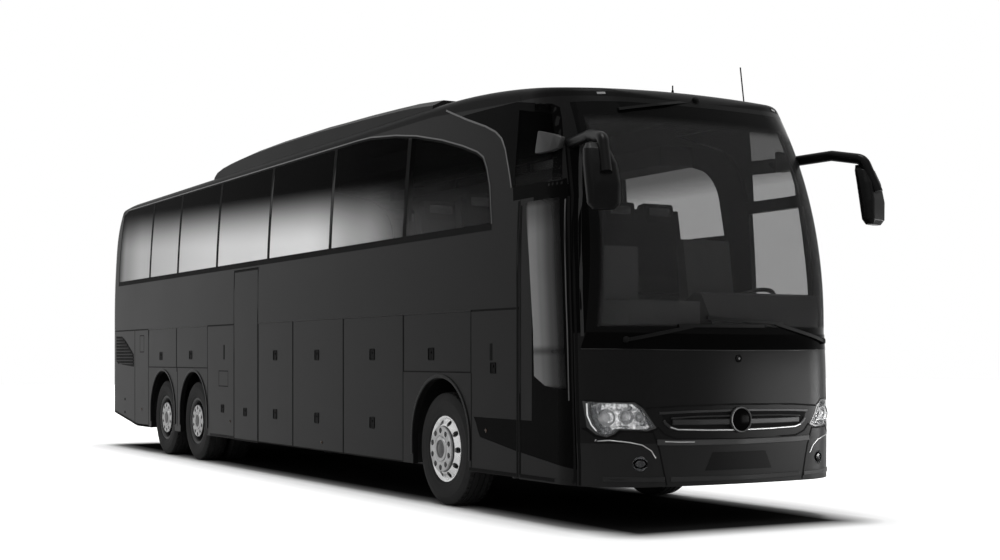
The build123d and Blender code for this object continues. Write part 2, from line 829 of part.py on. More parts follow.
# Wheels: tyres and rims, by axle and side
bead_out = 118
half_tyre = [(bead_out - fit, bead_radius), (bead_out - fit, rim_flange_radius + 2),
             (tyre_half_width, 350), (tyre_half_width, 440),
             (120, 500), (100, tyre_radius)]
tyre_profile = half_tyre + [(-out, radius) for out, radius in reversed(half_tyre)]
hub_radius = 200
disc_thickness = 14
hand_holes = 10
hand_hole_radius = 22
hand_hole_circle = 232
wheels = [
    ("front", 0, (0,), 112, 172),
    ("drive", -wheelbase, (0, -twin_spacing), -92, 138),
    ("tag", -wheelbase - tag_spacing, (0,), -92, 138),
]


def wheel_plane(x, side, out):
    """Plane across the axle line, with its normal pointing out of the body."""
    return Plane(origin=(x, side * (wheel_y + out), tyre_radius), x_dir=(1, 0, 0), z_dir=(0, side, 0))


def ring_about_axle(x, side, shift, points):
    """Ring turned about the axle line from (offset outwards, radius) points."""
    with BuildPart() as ring:
        with BuildSketch(Plane.XY):
            with BuildLine():
                Polyline(
                    *[(x + radius, side * (wheel_y + shift + out)) for out, radius in points], close=True
                )
            make_face()
        revolve(axis=Axis((x, 0, 0), (0, 1, 0)))
    return ring.part.moved(Location((0, 0, tyre_radius)))


for axle_name, distance, offsets, disc_out, hub_out in wheels:
    x = ahead(distance)
    for side_name, side in sides:
        with BuildPart() as tyre:
            for twin in offsets:
                add(ring_about_axle(x, side, twin, tyre_profile))
        tyre.part.label = f"tyre_{axle_name}_{side_name}"
        export_step(tyre.part, f"parts/tyre_{axle_name}_{side_name}.step")
        with BuildPart() as rim:
            for twin in offsets:
                barrel = [(-rim_half_width, rim_flange_radius), (-rim_half_width, 262),
                          (rim_half_width, 262),
                          (rim_half_width, rim_flange_radius), (bead_out, rim_flange_radius),
                          (bead_out, bead_radius - fit),
                          (-bead_out, bead_radius - fit), (-bead_out, rim_flange_radius)]
                add(ring_about_axle(x, side, twin, barrel))
            disc = [
                (disc_out - disc_thickness, 60), (disc_out - disc_thickness, 264), (disc_out, 264),
                (disc_out, 60)
            ]
            add(ring_about_axle(x, side, 0, disc))
            if len(offsets) > 1:
                mirrored = [(-out, radius) for out, radius in disc]
                add(ring_about_axle(x, side, offsets[1], mirrored))
            with BuildSketch(wheel_plane(x, side, disc_out + 1)):
                with PolarLocations(hand_hole_circle, hand_holes):
                    Circle(hand_hole_radius)
            extrude(
                amount=-(disc_thickness + 2 if len(offsets) < 2 else 3 * disc_thickness + 140),
                mode=Mode.SUBTRACT
            )
            hub_in = disc_out - disc_thickness if len(offsets) < 2 else offsets[1] - disc_out
            hub = [(hub_in, spindle_radius + fit), (hub_in, hub_radius), (hub_out, hub_radius),
                   (hub_out, 0),
                   (hub_out - 20, 0), (hub_out - 20, spindle_radius + fit)]
            add(ring_about_axle(x, side, 0, hub))
        rim.part.label = f"rim_{axle_name}_{side_name}"
        export_step(rim.part, f"parts/rim_{axle_name}_{side_name}.step")

# Front door: leaf, glass, and the arm with its post
door_arm_reach = 470
front_post = (ahead(1980), -1100)
front_closed_angle = 176
mid_post = (ahead(-5220), -1100)
mid_closed_angle = 4
mid_arm_reach = 440
post_radius = 24
arm_radius = 18
arm_levels = (900, 1900)


def door_leaf(outline):
    """Door cut from the shell, seam all round."""
    with BuildPart() as leaf:
        add(shell.part)
        add(through_side(polygon(outline, seam), -1), mode=Mode.INTERSECT)
    return leaf.part


def arm_end(post, reach, angle):
    """Place of the arm's outer pivot with the door shut."""
    return (post[0] + reach * cos(radians(angle)), post[1] + reach * sin(radians(angle)))


def leaf_lugs(post, reach, angle):
    """Lugs on the leaf above and below each arm end."""
    x, y = arm_end(post, reach, angle)
    with BuildPart() as lugs:
        for level in arm_levels:
            for z in (level - 36, level + 36):
                with Locations((x, (y + 30 - half_width + wall / 2) / 2, z)):
                    Box(60, y + 30 + half_width - wall / 2, 20)
        with Locations((x, y, 1500)):
            Cylinder(8 + fit, 2400, mode=Mode.SUBTRACT)
    return lugs.part


def door_arm(post, reach, angle, bottom):
    """Upright post with two arms, each with a pin in the leaf's lugs."""
    x, y = arm_end(post, reach, angle)
    with BuildPart() as arm:
        top = arm_levels[1] + 60
        with Locations((post[0], post[1], (bottom + top) / 2)):
            Cylinder(post_radius, top - bottom)
        for level in arm_levels:
            with Locations(Location(((x + post[0]) / 2, (y + post[1]) / 2, level), (0, 0, angle))):
                Box(reach, 2 * arm_radius, 2 * arm_radius)
            with Locations((x, y, level)):
                Cylinder(24, 2 * arm_radius)
                Cylinder(8, 84)
    return arm.part


with BuildPart() as front_door:
    add(door_leaf(front_door_outline))
    add(through_side(polygon(front_door_glass_outline), -1), mode=Mode.SUBTRACT)
    add(leaf_lugs(front_post, door_arm_reach, front_closed_angle))
front_door.part.label = "front_door"
export_step(front_door.part, "parts/front_door.step")

with BuildPart() as front_door_glass:
    add(skin.part)
    add(through_side(polygon(front_door_glass_outline, fit), -1), mode=Mode.INTERSECT)
front_door_glass.part.label = "front_door_glass"
export_step(front_door_glass.part, "parts/front_door_glass.step")

with BuildPart() as front_door_arm:
    add(door_arm(front_post, door_arm_reach, front_closed_angle, stair_foot + fit))
front_door_arm.part.label = "front_door_arm"
export_step(front_door_arm.part, "parts/front_door_arm.step")

with BuildPart() as mid_door:
    add(door_leaf(mid_door_outline))
    add(leaf_lugs(mid_post, mid_arm_reach, mid_closed_angle))
mid_door.part.label = "mid_door"
export_step(mid_door.part, "parts/mid_door.step")

with BuildPart() as mid_door_arm:
    add(door_arm(mid_post, mid_arm_reach, mid_closed_angle, stair_foot + fit))
mid_door_arm.part.label = "mid_door_arm"
export_step(mid_door_arm.part, "parts/mid_door_arm.step")

# Mirrors: a hooked arm and a hanging head each side
mirror_arm_radius = 44
mirror_path = [(1980, 1130, 3030), (2400, 1212, 3040), (2700, 1290, 2980), (2820, 1336, 2700)]
mirror_yaw = 20
mirror_head_y = 1330
# Mirror head sections: height, distance ahead of the front axle, width and depth
mirror_head = [(2433, 2775, 170, 70), (2475, 2775, 245, 115), (2620, 2762, 265, 135),
               (2780, 2722, 250, 135),
               (2890, 2675, 200, 120), (2940, 2635, 120, 80)]
with BuildPart() as mirrors:
    for side in (-1, 1):
        with BuildLine() as arm_line:
            FilletPolyline(*[(ahead(x), side * y, z) for x, y, z in mirror_path], radius=110)
        with BuildSketch(Plane(origin=arm_line.line @ 0, z_dir=arm_line.line % 0)):
            Circle(mirror_arm_radius)
        sweep(path=arm_line.line)
        for z, x, width, depth in mirror_head:
            with BuildSketch(Plane(origin=(ahead(x), side * mirror_head_y, z))):
                with Locations(Location((0, 0, 0), (0, 0, side * mirror_yaw))):
                    RectangleRounded(depth, width, 0.4 * depth)
        loft(ruled=True)
    add(outer_hull.part, mode=Mode.SUBTRACT)
mirrors.part.label = "mirrors"
export_step(mirrors.part, "parts/mirrors.step")

# Wipers and whip antennas
wiper_gap = 0.5
wiper_depth = 26
wiper_lines = [((-970, 1472), (-430, 1578), 26), ((-560, 1582), (262, 1586), 26), ((990, 1472),
               (390, 1606), 26),
               ((-300, 1645), (470, 1608), 26), ((-800, 3306), (40, 3450), 22)]
antennas = [(1520, 200, 150, 0), (1500, 1000, 400, 9)]
antenna_radius = 6
antenna_root_z = 3530
with BuildPart() as wiper_zone:
    add(hull(-wiper_depth, 0))
    add(hull(-wiper_gap, 0), mode=Mode.SUBTRACT)


def wiper_blade(start, end, width):
    """Straight strip that follows the windscreen."""
    (y0, z0), (y1, z1) = start, end
    with BuildPart() as blade:
        with BuildSketch(Plane.YZ.offset(ahead(1900))):
            with Locations(Location(((y0 + y1) / 2, (z0 + z1) / 2, 0), degrees(atan2(z1 - z0, y1 - y0)))):
                Rectangle(sqrt((y1 - y0) ** 2 + (z1 - z0) ** 2), width)
        extrude(amount=1200)
        add(wiper_zone.part, mode=Mode.INTERSECT)
    return blade.part


with BuildPart() as wipers:
    for start, end, width in wiper_lines:
        add(wiper_blade(start, end, width))
wipers.part.label = "wipers"
export_step(wipers.part, "parts/wipers.step")

with BuildPart() as antennas_part:
    for x, y, height, rake in antennas:
        with Locations(Location((ahead(x), y, antenna_root_z), (0, -rake, 0))):
            Cylinder(antenna_radius, height, align=(Align.CENTER, Align.CENTER, Align.MIN))
    add(outer_hull.part, mode=Mode.SUBTRACT)
antennas_part.part.label = "antennas"
export_step(antennas_part.part, "parts/antennas.step")

# Luggage racks along the cabin
rack_front = 500
with BuildPart() as luggage_racks:
    for side in (-1, 1):
        y0, y1 = sorted((side * 800, side * 1300))
        add(in_body(-10200, rack_front, y0, y1, 3150, 3330))
luggage_racks.part.label = "luggage_racks"
export_step(luggage_racks.part, "parts/luggage_racks.step")

# Dashboard, with the steering column
dash_rear = 2130
dash_front = 2500
dash_profile = [
    (dash_rear, 1560), (dash_rear, 1810), (2240, 1868), (2330, 1850), (2420, 1700), (dash_front, 1560)
]
guide_dash_rear = 2190
guide_dash_top = 1780
guide_pad_depth = 90
guide_pad_top = 2210
wheel_centre = (ahead(2010), 640, 1790)
column_angle = 30
axis_x = sin(radians(column_angle))
axis_z = cos(radians(column_angle))
with BuildPart() as dashboard:
    add(in_body(dash_rear, dash_front, cab_floor_right, 1110, cab_floor_top, dash_profile[0][1]))
    add(in_body(guide_dash_rear, dash_front, -1110, cab_floor_right, cab_floor_top, guide_dash_top))
    add(
        in_body(
            guide_dash_rear, guide_dash_rear + guide_pad_depth, -1000, -680, guide_dash_top, guide_pad_top
        )
    )
    with BuildSketch(Plane.XZ.offset(-1110)):
        with BuildLine():
            Polyline(*[(ahead(x), z) for x, z in dash_profile], close=True)
        make_face()
    extrude(amount=1110 + 100)
    add(lining, mode=Mode.INTERSECT)
    with BuildSketch(Plane(origin=(wheel_centre[0] + axis_x * 20, wheel_centre[1],
                           wheel_centre[2] - axis_z * 20),
                           x_dir=(0, 1, 0), z_dir=(axis_x, 0, -axis_z))):
        Circle(38)
    extrude(amount=420)
dashboard.part.label = "dashboard"
export_step(dashboard.part, "parts/dashboard.step")

steering_plane = Plane(origin=wheel_centre, x_dir=(0, 1, 0), z_dir=(-axis_x, 0, axis_z))
with BuildPart() as steering_wheel:
    with BuildSketch(steering_plane.offset(-20 + fit)):
        Circle(60)
    extrude(amount=40)
    with BuildSketch(steering_plane.offset(-12)):
        Circle(240)
        Circle(212, mode=Mode.SUBTRACT)
        with PolarLocations(135, 3, start_angle=90):
            Rectangle(170, 40)
    extrude(amount=24)
steering_wheel.part.label = "steering_wheel"
export_step(steering_wheel.part, "parts/steering_wheel.step")

# Seats: double seats in rows, the driver's seat and the guide's seat
row_pitch = 820
first_row = 620
row_count = 13
seat_width = 900
seat_centre_y = 740
driver_back = 830


def seat(x, y, width, floor_z, cushion_z, back=690):
    """Pedestal, cushion and back in one profile, drawn across the seat."""
    with BuildPart() as one:
        with BuildSketch(Plane.XZ.offset(-(y + width / 2))):
            with BuildLine():
                Polyline(
                    (x - 330, floor_z), (x - 330, cushion_z - 130), (x - 400, cushion_z - 100),
                    (x - 500, cushion_z + back),
                    (x - 390, cushion_z + back), (x - 260, cushion_z), (x + 150, cushion_z + 20),
                    (x + 150, cushion_z - 130),
                    (x - 100, cushion_z - 130), (x - 100, floor_z), close=True,
                )
            make_face()
        extrude(amount=width)
    return one.part


with BuildPart() as seats:
    for side in (-1, 1):
        for row in range(row_count):
            x = first_row - row * row_pitch
            over_stair = side < 0 and mid_stair_rear - 200 < x < mid_stair_front + 550
            if not over_stair:
                add(seat(ahead(x), side * seat_centre_y, seat_width, deck_top + fit, deck_top + 440))
    add(seat(ahead(1800), 640, 500, cab_floor_top + fit, cab_floor_top + 480, driver_back))
seats.part.label = "seats"
export_step(seats.part, "parts/seats.step")
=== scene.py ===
import json
from math import atan2, cos, pi, radians, sin

import bmesh
import bpy
from mathutils import Matrix, Vector
from mathutils.bvhtree import BVHTree


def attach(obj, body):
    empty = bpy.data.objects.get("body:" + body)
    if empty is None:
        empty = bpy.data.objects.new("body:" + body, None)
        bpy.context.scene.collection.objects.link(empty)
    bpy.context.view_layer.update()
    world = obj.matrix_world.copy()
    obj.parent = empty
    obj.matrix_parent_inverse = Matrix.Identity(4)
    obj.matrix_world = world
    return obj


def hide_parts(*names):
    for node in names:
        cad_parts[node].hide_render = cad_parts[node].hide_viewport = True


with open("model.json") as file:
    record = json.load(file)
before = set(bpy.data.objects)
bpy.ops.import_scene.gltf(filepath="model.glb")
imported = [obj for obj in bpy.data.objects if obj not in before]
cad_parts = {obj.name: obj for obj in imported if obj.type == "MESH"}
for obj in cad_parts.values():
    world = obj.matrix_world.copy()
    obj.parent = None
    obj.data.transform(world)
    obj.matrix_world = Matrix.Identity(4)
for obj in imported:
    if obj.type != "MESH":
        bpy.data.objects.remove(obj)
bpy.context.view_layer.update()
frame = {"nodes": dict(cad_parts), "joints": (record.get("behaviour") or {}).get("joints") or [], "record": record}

# Camera: stands off the front right corner of the coach, a little above
# waist height, and looks level along it.
camera = bpy.data.objects.new("camera", bpy.data.cameras.new("camera"))
bpy.context.scene.collection.objects.link(camera)
bpy.context.scene.camera = camera
camera.location = (16.393, -7.5085, 1.3285)
camera.rotation_euler = (radians(90), 0, radians(60.353))
camera.data.sensor_width = 36
camera.data.lens = 54.75
camera.data.shift_x = -0.00964
camera.data.shift_y = 0.07836
camera.data.clip_end = 300

# Studio: a white paper sweep with a painted shadow under the coach, one broad
# soft light overhead, a weaker one from the viewer's side, and a low upright
# panel beyond the far side that only shows as a sheen on the nose.
scene = bpy.context.scene
scene.view_settings.view_transform = "Standard"
world = bpy.data.worlds.new("studio")
scene.world = world
world.use_nodes = True
nodes = world.node_tree.nodes
links = world.node_tree.links
background = nodes["Background"]
background.inputs["Color"].default_value = (1, 1, 1, 1)
path = nodes.new("ShaderNodeLightPath")
seen = nodes.new("ShaderNodeMath")
seen.operation = "MAXIMUM"
links.new(path.outputs["Is Camera Ray"], seen.inputs[0])
links.new(path.outputs["Is Glossy Ray"], seen.inputs[1])
clear = nodes.new("ShaderNodeMath")
clear.operation = "MAXIMUM"
links.new(seen.outputs[0], clear.inputs[0])
links.new(path.outputs["Is Transmission Ray"], clear.inputs[1])
level = nodes.new("ShaderNodeMapRange")
level.inputs["To Min"].default_value = 0.38
level.inputs["To Max"].default_value = 1.0
links.new(clear.outputs[0], level.inputs["Value"])
links.new(level.outputs[0], background.inputs["Strength"])

for name, direction, strength, angle in (
    ("overhead light", (0.03, 0.0, -1.0), 2.0, 26), ("viewer's light", (-0.6, 0.35, -0.75), 0.5, 60),
):
    lamp = bpy.data.objects.new(name.replace(" ", "_").replace("'", ""), bpy.data.lights.new("light", "SUN"))
    lamp.data.energy = strength
    lamp.data.angle = radians(angle)
    lamp.rotation_euler = Vector(direction).to_track_quat("-Z", "Y").to_euler()
    scene.collection.objects.link(lamp)

screen = bpy.data.objects.new("far_side_panel", bpy.data.lights.new("panel", "AREA"))
screen.data.shape = "RECTANGLE"
screen.data.size = 9.5
screen.data.size_y = 2.4
screen.data.energy = 1000
screen.location = (11.6, 9.1, 0.75)
screen.rotation_euler = Vector((-0.45, -1, 0)).to_track_quat("-Z", "Y").to_euler()
screen.visible_diffuse = False
screen.visible_camera = False
screen.visible_transmission = False
scene.collection.objects.link(screen)

sweep = bmesh.new()
bmesh.ops.create_grid(sweep, x_segments=1, y_segments=1, size=60)
floor_mesh = bpy.data.meshes.new("studio_floor")
sweep.to_mesh(floor_mesh)
sweep.free()
floor = bpy.data.objects.new("studio_floor", floor_mesh)
scene.collection.objects.link(floor)
paper = bpy.data.materials.new("white paper with painted shadow")
paper.use_nodes = True
nodes = paper.node_tree.nodes
links = paper.node_tree.links
nodes.clear()
matt = nodes.new("ShaderNodeBsdfDiffuse")
glow = nodes.new("ShaderNodeEmission")
glow.inputs["Color"].default_value = (1, 1, 1, 1)
path = nodes.new("ShaderNodeLightPath")
place = nodes.new("ShaderNodeTexCoord")
beyond = nodes.new("ShaderNodeVectorMath")
beyond.operation = "ABSOLUTE"
links.new(place.outputs["Object"], beyond.inputs[0])
margin = nodes.new("ShaderNodeVectorMath")
margin.operation = "SUBTRACT"
margin.inputs[1].default_value = (6.85, 0.95, 0)
links.new(beyond.outputs[0], margin.inputs[0])
outside = nodes.new("ShaderNodeVectorMath")
outside.operation = "MAXIMUM"
outside.inputs[1].default_value = (0, 0, 0)
links.new(margin.outputs[0], outside.inputs[0])
away = nodes.new("ShaderNodeVectorMath")
away.operation = "LENGTH"
links.new(outside.outputs[0], away.inputs[0])
fade = nodes.new("ShaderNodeMapRange")
fade.interpolation_type = "SMOOTHSTEP"
fade.inputs["From Min"].default_value = 0.3
fade.inputs["From Max"].default_value = 1.4
fade.inputs["To Max"].default_value = 0.5
links.new(away.outputs["Value"], fade.inputs["Value"])
# Painted shadow: the paper's own colour goes near-black under the coach's footprint and pales outside it; further out
# the camera alone sees it lifted to white.
painted_shadow_tone = nodes.new("ShaderNodeMapRange")
painted_shadow_tone.inputs["From Max"].default_value = 0.45
painted_shadow_tone.inputs["To Min"].default_value = 0.02
painted_shadow_tone.inputs["To Max"].default_value = 0.90
links.new(away.outputs["Value"], painted_shadow_tone.inputs["Value"])
links.new(painted_shadow_tone.outputs[0], matt.inputs["Color"])
lift = nodes.new("ShaderNodeMath")
lift.operation = "MULTIPLY"
links.new(path.outputs["Is Camera Ray"], lift.inputs[0])
links.new(fade.outputs[0], lift.inputs[1])
links.new(lift.outputs[0], glow.inputs["Strength"])
both = nodes.new("ShaderNodeAddShader")
links.new(matt.outputs[0], both.inputs[0])
links.new(glow.outputs[0], both.inputs[1])
out = nodes.new("ShaderNodeOutputMaterial")
links.new(both.outputs[0], out.inputs["Surface"])
floor_mesh.materials.append(paper)


# Body panels: pressed and bonded sheet, sprayed near-black and polished to a
# satin depth. The paint shows a faint unevenness close to.
def finish(name, dark, light, rough=0.4, metal=0.0, specular=0.5, grain=900, relief=0.02, patch=1.5, coat=0.0):
    """Surface finish whose tone wanders between two greys, with a fine relief."""
    made = bpy.data.materials.new(name)
    made.use_nodes = True
    tree = made.node_tree
    shader = tree.nodes["Principled BSDF"]
    shader.inputs["Metallic"].default_value = metal
    shader.inputs["Specular IOR Level"].default_value = specular
    shader.inputs["Coat Weight"].default_value = coat
    place = tree.nodes.new("ShaderNodeTexCoord")
    cloud = tree.nodes.new("ShaderNodeTexNoise")
    cloud.inputs["Scale"].default_value = patch
    cloud.inputs["Detail"].default_value = 6
    tree.links.new(place.outputs["Object"], cloud.inputs["Vector"])
    tone = tree.nodes.new("ShaderNodeValToRGB")
    tone.color_ramp.elements[0].position = 0.3
    tone.color_ramp.elements[1].position = 0.7
    tone.color_ramp.elements[0].color = (dark, dark, dark, 1) if isinstance(dark, float) else (*dark, 1)
    tone.color_ramp.elements[1].color = (light, light, light, 1) if isinstance(light, float) else (*light, 1)
    tree.links.new(cloud.outputs["Fac"], tone.inputs["Fac"])
    tree.links.new(tone.outputs["Color"], shader.inputs["Base Color"])
    smear = tree.nodes.new("ShaderNodeMapRange")
    smear.inputs["To Min"].default_value = rough * 0.85
    smear.inputs["To Max"].default_value = min(1.0, rough * 1.2)
    tree.links.new(cloud.outputs["Fac"], smear.inputs["Value"])
    tree.links.new(smear.outputs[0], shader.inputs["Roughness"])
    speck = tree.nodes.new("ShaderNodeTexNoise")
    speck.inputs["Scale"].default_value = grain
    tree.links.new(place.outputs["Object"], speck.inputs["Vector"])
    bump = tree.nodes.new("ShaderNodeBump")
    bump.inputs["Strength"].default_value = relief
    bump.inputs["Distance"].default_value = 0.001
    tree.links.new(speck.outputs["Fac"], bump.inputs["Height"])
    tree.links.new(bump.outputs["Normal"], shader.inputs["Normal"])
    return made


def dress(node, material, body="coach", crease=28, cuts=(), other=None, belongs=None):
    """Stand in for a CAD node with a merged, smooth copy of its own shape, two-toned along clean cuts if asked."""
    shape = bmesh.new()
    shape.from_mesh(frame["nodes"][node].data)
    bmesh.ops.remove_doubles(shape, verts=shape.verts, dist=0.00002)
    bmesh.ops.dissolve_degenerate(shape, edges=shape.edges, dist=0.00002)
    for point, across in cuts:
        bmesh.ops.bisect_plane(
            shape, geom=shape.verts[:] + shape.edges[:] + shape.faces[:], dist=0.00001, plane_co=point,
            plane_no=across
        )
    for face in shape.faces:
        face.smooth = True
        face.material_index = 1 if other is not None and belongs(face.calc_center_median()) else 0
    for edge in shape.edges:
        edge.smooth = len(edge.link_faces) == 2 and edge.calc_face_angle(pi) < radians(crease)
    mesh = bpy.data.meshes.new(node)
    shape.to_mesh(mesh)
    shape.free()
    mesh.materials.append(material)
    if other is not None:
        mesh.materials.append(other)
    piece = bpy.data.objects.new(node + "_skin", mesh)
    bpy.context.scene.collection.objects.link(piece)
    weigh = piece.modifiers.new("even normals", "WEIGHTED_NORMAL")
    weigh.keep_sharp = True
    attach(piece, body)
    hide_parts(node)
    return piece


paint = finish("satin black paint", 0.0046, 0.0062, rough=0.30, specular=0.042, grain=1400, relief=0.012, patch=0.8)
for node in ("side_wall_right", "side_wall_left", "front_panel", "rear_wall"):
    dress(node, paint)
# The bumper's paint is paler than the body's, a painted reflection of the floor in its lower face.
dress(
    "bumper", finish("bumper paint with painted reflection", 0.0105, 0.0140, rough=0.32, specular=0.048, grain=1400, relief=0.012, patch=0.8)
)
dress("roof", finish("roof paint", 0.0040, 0.0052, rough=0.36, specular=0.018, grain=1400, relief=0.012, patch=0.8))
flap_bodies = {
    node: joint["child"]
    for joint in frame["joints"]
    for node in frame["record"]["behaviour"]["bodies"][joint["child"]]
}
for node in sorted(flap_bodies):
    if node.startswith(("flap_", "hatch_", "engine_lid")) or node == "mid_door":
        dress(node, paint, flap_bodies[node])

# Side and rear glass: toughened panes bonded flush, coloured with a painted
# reflection, almost black at the top and paler downwards over the rear panes; the two front bays are darker and
# clearer, for the crew.
def node_chain(material):
    """The node tree, shader and object coordinates of a new material."""
    material.use_nodes = True
    tree = material.node_tree
    place = tree.nodes.new("ShaderNodeTexCoord")
    split = tree.nodes.new("ShaderNodeSeparateXYZ")
    tree.links.new(place.outputs["Object"], split.inputs[0])
    return tree, tree.nodes["Principled BSDF"], split


def grade(tree, value, stops):
    """Colour ramp over a value, from a short list of stops."""
    ramp = tree.nodes.new("ShaderNodeValToRGB")
    ramp.color_ramp.interpolation = "EASE"
    while len(ramp.color_ramp.elements) < len(stops):
        ramp.color_ramp.elements.new(0.5)
    for element, (position, grey) in zip(ramp.color_ramp.elements, stops):
        element.position = position
        element.color = (grey, grey, grey, 1)
    tree.links.new(value, ramp.inputs["Fac"])
    return ramp.outputs["Color"]


def spread(tree, value, low, high, to_low=0.0, to_high=1.0, smooth=False):
    """Map a value from one range to another, held at its ends."""
    node = tree.nodes.new("ShaderNodeMapRange")
    if smooth:
        node.interpolation_type = "SMOOTHSTEP"
    for socket, amount in (("From Min", low), ("From Max", high), ("To Min", to_low), ("To Max", to_high)):
        if hasattr(amount, "is_linked"):
            tree.links.new(amount, node.inputs[socket])
        else:
            node.inputs[socket].default_value = amount
    tree.links.new(value, node.inputs["Value"])
    return node.outputs[0]


def combine(tree, operation, first, second):
    """Arithmetic on two values."""
    node = tree.nodes.new("ShaderNodeMath")
    node.operation = operation
    for slot, amount in enumerate((first, second)):
        if hasattr(amount, "is_linked"):
            tree.links.new(amount, node.inputs[slot])
        else:
            node.inputs[slot].default_value = amount
    return node.outputs[0]


front_axle = 4.171
side_glass = bpy.data.materials.new("side glass with painted reflection")
tree, shader, split = node_chain(side_glass)
shader.inputs["Roughness"].default_value = 0.06
shader.inputs["Specular IOR Level"].default_value = 0.002
along = spread(tree, split.outputs["X"], front_axle - 10.8, front_axle + 2.2)
middle = spread(tree, split.outputs["X"], front_axle - 10.5, front_axle - 1.0, 3.14, 2.72)
painted_reflection_fall = spread(
    tree, split.outputs["Z"], combine(tree, "ADD", middle, 0.36), combine(tree, "SUBTRACT", middle, 0.26), smooth=True
)
# Painted reflection: its strength along the coach, times its fall down each pane, gives the panes' colour.
amount = grade(
    tree, along,
    [
        (0.0, 0.0), (0.035, 0.35), (0.10, 0.56), (0.40, 0.80), (0.58, 0.86), (0.70, 0.50), (0.775, 0.12),
        (0.90, 0.05), (1.0, 0.05)
    ],
)
tint = combine(tree, "ADD", combine(tree, "MULTIPLY", painted_reflection_fall, amount), 0.0012)
tree.links.new(tint, shader.inputs["Base Color"])
clearness = grade(tree, along, [(0.0, 1.0), (0.60, 0.985), (0.76, 0.62), (0.78, 0.30), (1.0, 0.30)])
shade_band = spread(tree, split.outputs["Z"], 2.68, 3.08, 0.0, 0.62)
tree.links.new(combine(tree, "MAXIMUM", clearness, shade_band), shader.inputs["Alpha"])
frame["nodes"]["body_glass"].data.materials.clear()
frame["nodes"]["body_glass"].data.materials.append(side_glass)

# Windscreen: one laminated sheet, printed black round its edge where it is
# bonded to the frame, and lightly smoked all over.
screen_glass = bpy.data.materials.new("smoked windscreen")
tree, shader, split = node_chain(screen_glass)
shader.inputs["Roughness"].default_value = 0.04
shader.inputs["Specular IOR Level"].default_value = 0.025
across = combine(tree, "ABSOLUTE", split.outputs["Y"], 0)
edge = combine(tree, "ADD", across, combine(tree, "MULTIPLY", split.outputs["Z"], 0.0587))
sides = spread(tree, edge, 1.195, 1.235, smooth=True)
head = spread(tree, split.outputs["Z"], 3.14, 3.27, smooth=True)
foot = spread(tree, split.outputs["Z"], 1.60, 1.57, smooth=True)
band = combine(tree, "MAXIMUM", combine(tree, "MAXIMUM", sides, head), foot)
tree.links.new(spread(tree, band, 0, 1, 0.29, 1.0), shader.inputs["Alpha"])
tree.links.new(spread(tree, band, 0, 1, 0.040, 0.0020), shader.inputs["Base Color"])
dress("windscreen", screen_glass)

# Front door glass: a tall pane bonded to the leaf, with a painted reflection
# of the sky down its middle, and dark along its edges.
door_glass = bpy.data.materials.new("door glass")
tree, shader, split = node_chain(door_glass)
shader.inputs["Roughness"].default_value = 0.05
shader.inputs["Specular IOR Level"].default_value = 0.012
lean = combine(tree, "ADD", split.outputs["X"], combine(tree, "MULTIPLY", split.outputs["Z"], 0.085))
# Painted reflection: a pale streak across the pane, faded towards its foot and head below.
painted_sky_streak = grade(
    tree, spread(tree, lean, front_axle + 1.66, front_axle + 2.26),
    [
        (0.0, 0.003), (0.09, 0.016), (0.20, 0.23), (0.33, 0.21), (0.45, 0.155), (0.72, 0.062), (0.9, 0.015),
        (1.0, 0.004)
    ],
)
fade = grade(
    tree, spread(tree, split.outputs["Z"], 1.08, 2.6),
    [(0.0, 0.0), (0.03, 0.75), (0.17, 0.7), (0.2, 0.35), (0.24, 0.95), (0.80, 0.9), (0.96, 0.5), (1.0, 0.2)],
)
tree.links.new(combine(tree, "MULTIPLY", painted_sky_streak, fade), shader.inputs["Base Color"])
shader.inputs["Alpha"].default_value = 0.93
frame["nodes"]["front_door_glass"].data.materials.clear()
frame["nodes"]["front_door_glass"].data.materials.append(door_glass)

# Window surrounds: black rubber let in round the whole row of panes, with a
# wide sill strip below and a flat strip over the pillar between each two.
skin = bmesh.new()
for node in (
    "side_wall_right", "side_wall_left", "roof", "front_frame", "front_panel", "bumper", "grille", "lamps",
    "windscreen",
    "rear_wall", "body_glass", "front_door_glass", *sorted(flap_bodies),
):
    if not node.startswith(("knuckle", "steering", "tyre", "rim")) and not node.endswith("_arm"):
        skin.from_mesh(frame["nodes"][node].data)
skin_tree = BVHTree.FromBMesh(skin)
skin.free()
facing = {
    "right": Vector((0, -1, 0)), "left": Vector((0, 1, 0)), "front": Vector((1, 0, 0)), "rear": Vector((-1, 0, 0)),
    "top": Vector((0, 0, 1)),
}


def spot(u, v, view):
    """Point of a flat view: (length, height) from a side, (width, height) from an end, (length, width) from above."""
    if view in ("right", "left"):
        return Vector((front_axle + u, 0, v))
    if view in ("front", "rear"):
        return Vector((0, u, v))
    return Vector((front_axle + u, v, 0))


def on_skin(point, view):
    """Place and slope of the body's outside at a point of a flat view, bridging the panel seams."""
    away = facing[view]
    base = point - away * point.dot(away)
    first = Vector((0, 0, 0.012)) if view != "top" else Vector((0.012, 0, 0))
    second = away.cross(first)
    found = []
    for shift in (Vector(), first, -first, second, -second):
        hit, normal, face, distance = skin_tree.ray_cast(base + shift + away * 9, -away)
        if hit is not None:
            found.append((hit.dot(away), normal))
    if not found:
        return base, away
    outermost = max(found, key=lambda one: one[0])
    depth, normal = found[0] if found[0][0] > outermost[0] - 0.03 else outermost
    return base + away * depth, normal if normal.dot(away) > 0 else -normal


def settle(shape, view, lift=-0.0005):
    """Lay every point of a flat shape on the body and face it outwards."""
    for vert in shape.verts:
        place, normal = on_skin(vert.co, view)
        vert.co = place + normal * lift
    shape.normal_update()
    for face in shape.faces:
        if face.normal.dot(facing[view]) < 0:
            face.normal_flip()


def pour(part, shape):
    """Add a finished part to a shape."""
    mesh = bpy.data.meshes.new("part")
    part.to_mesh(mesh)
    part.free()
    shape.from_mesh(mesh)
    bpy.data.meshes.remove(mesh)


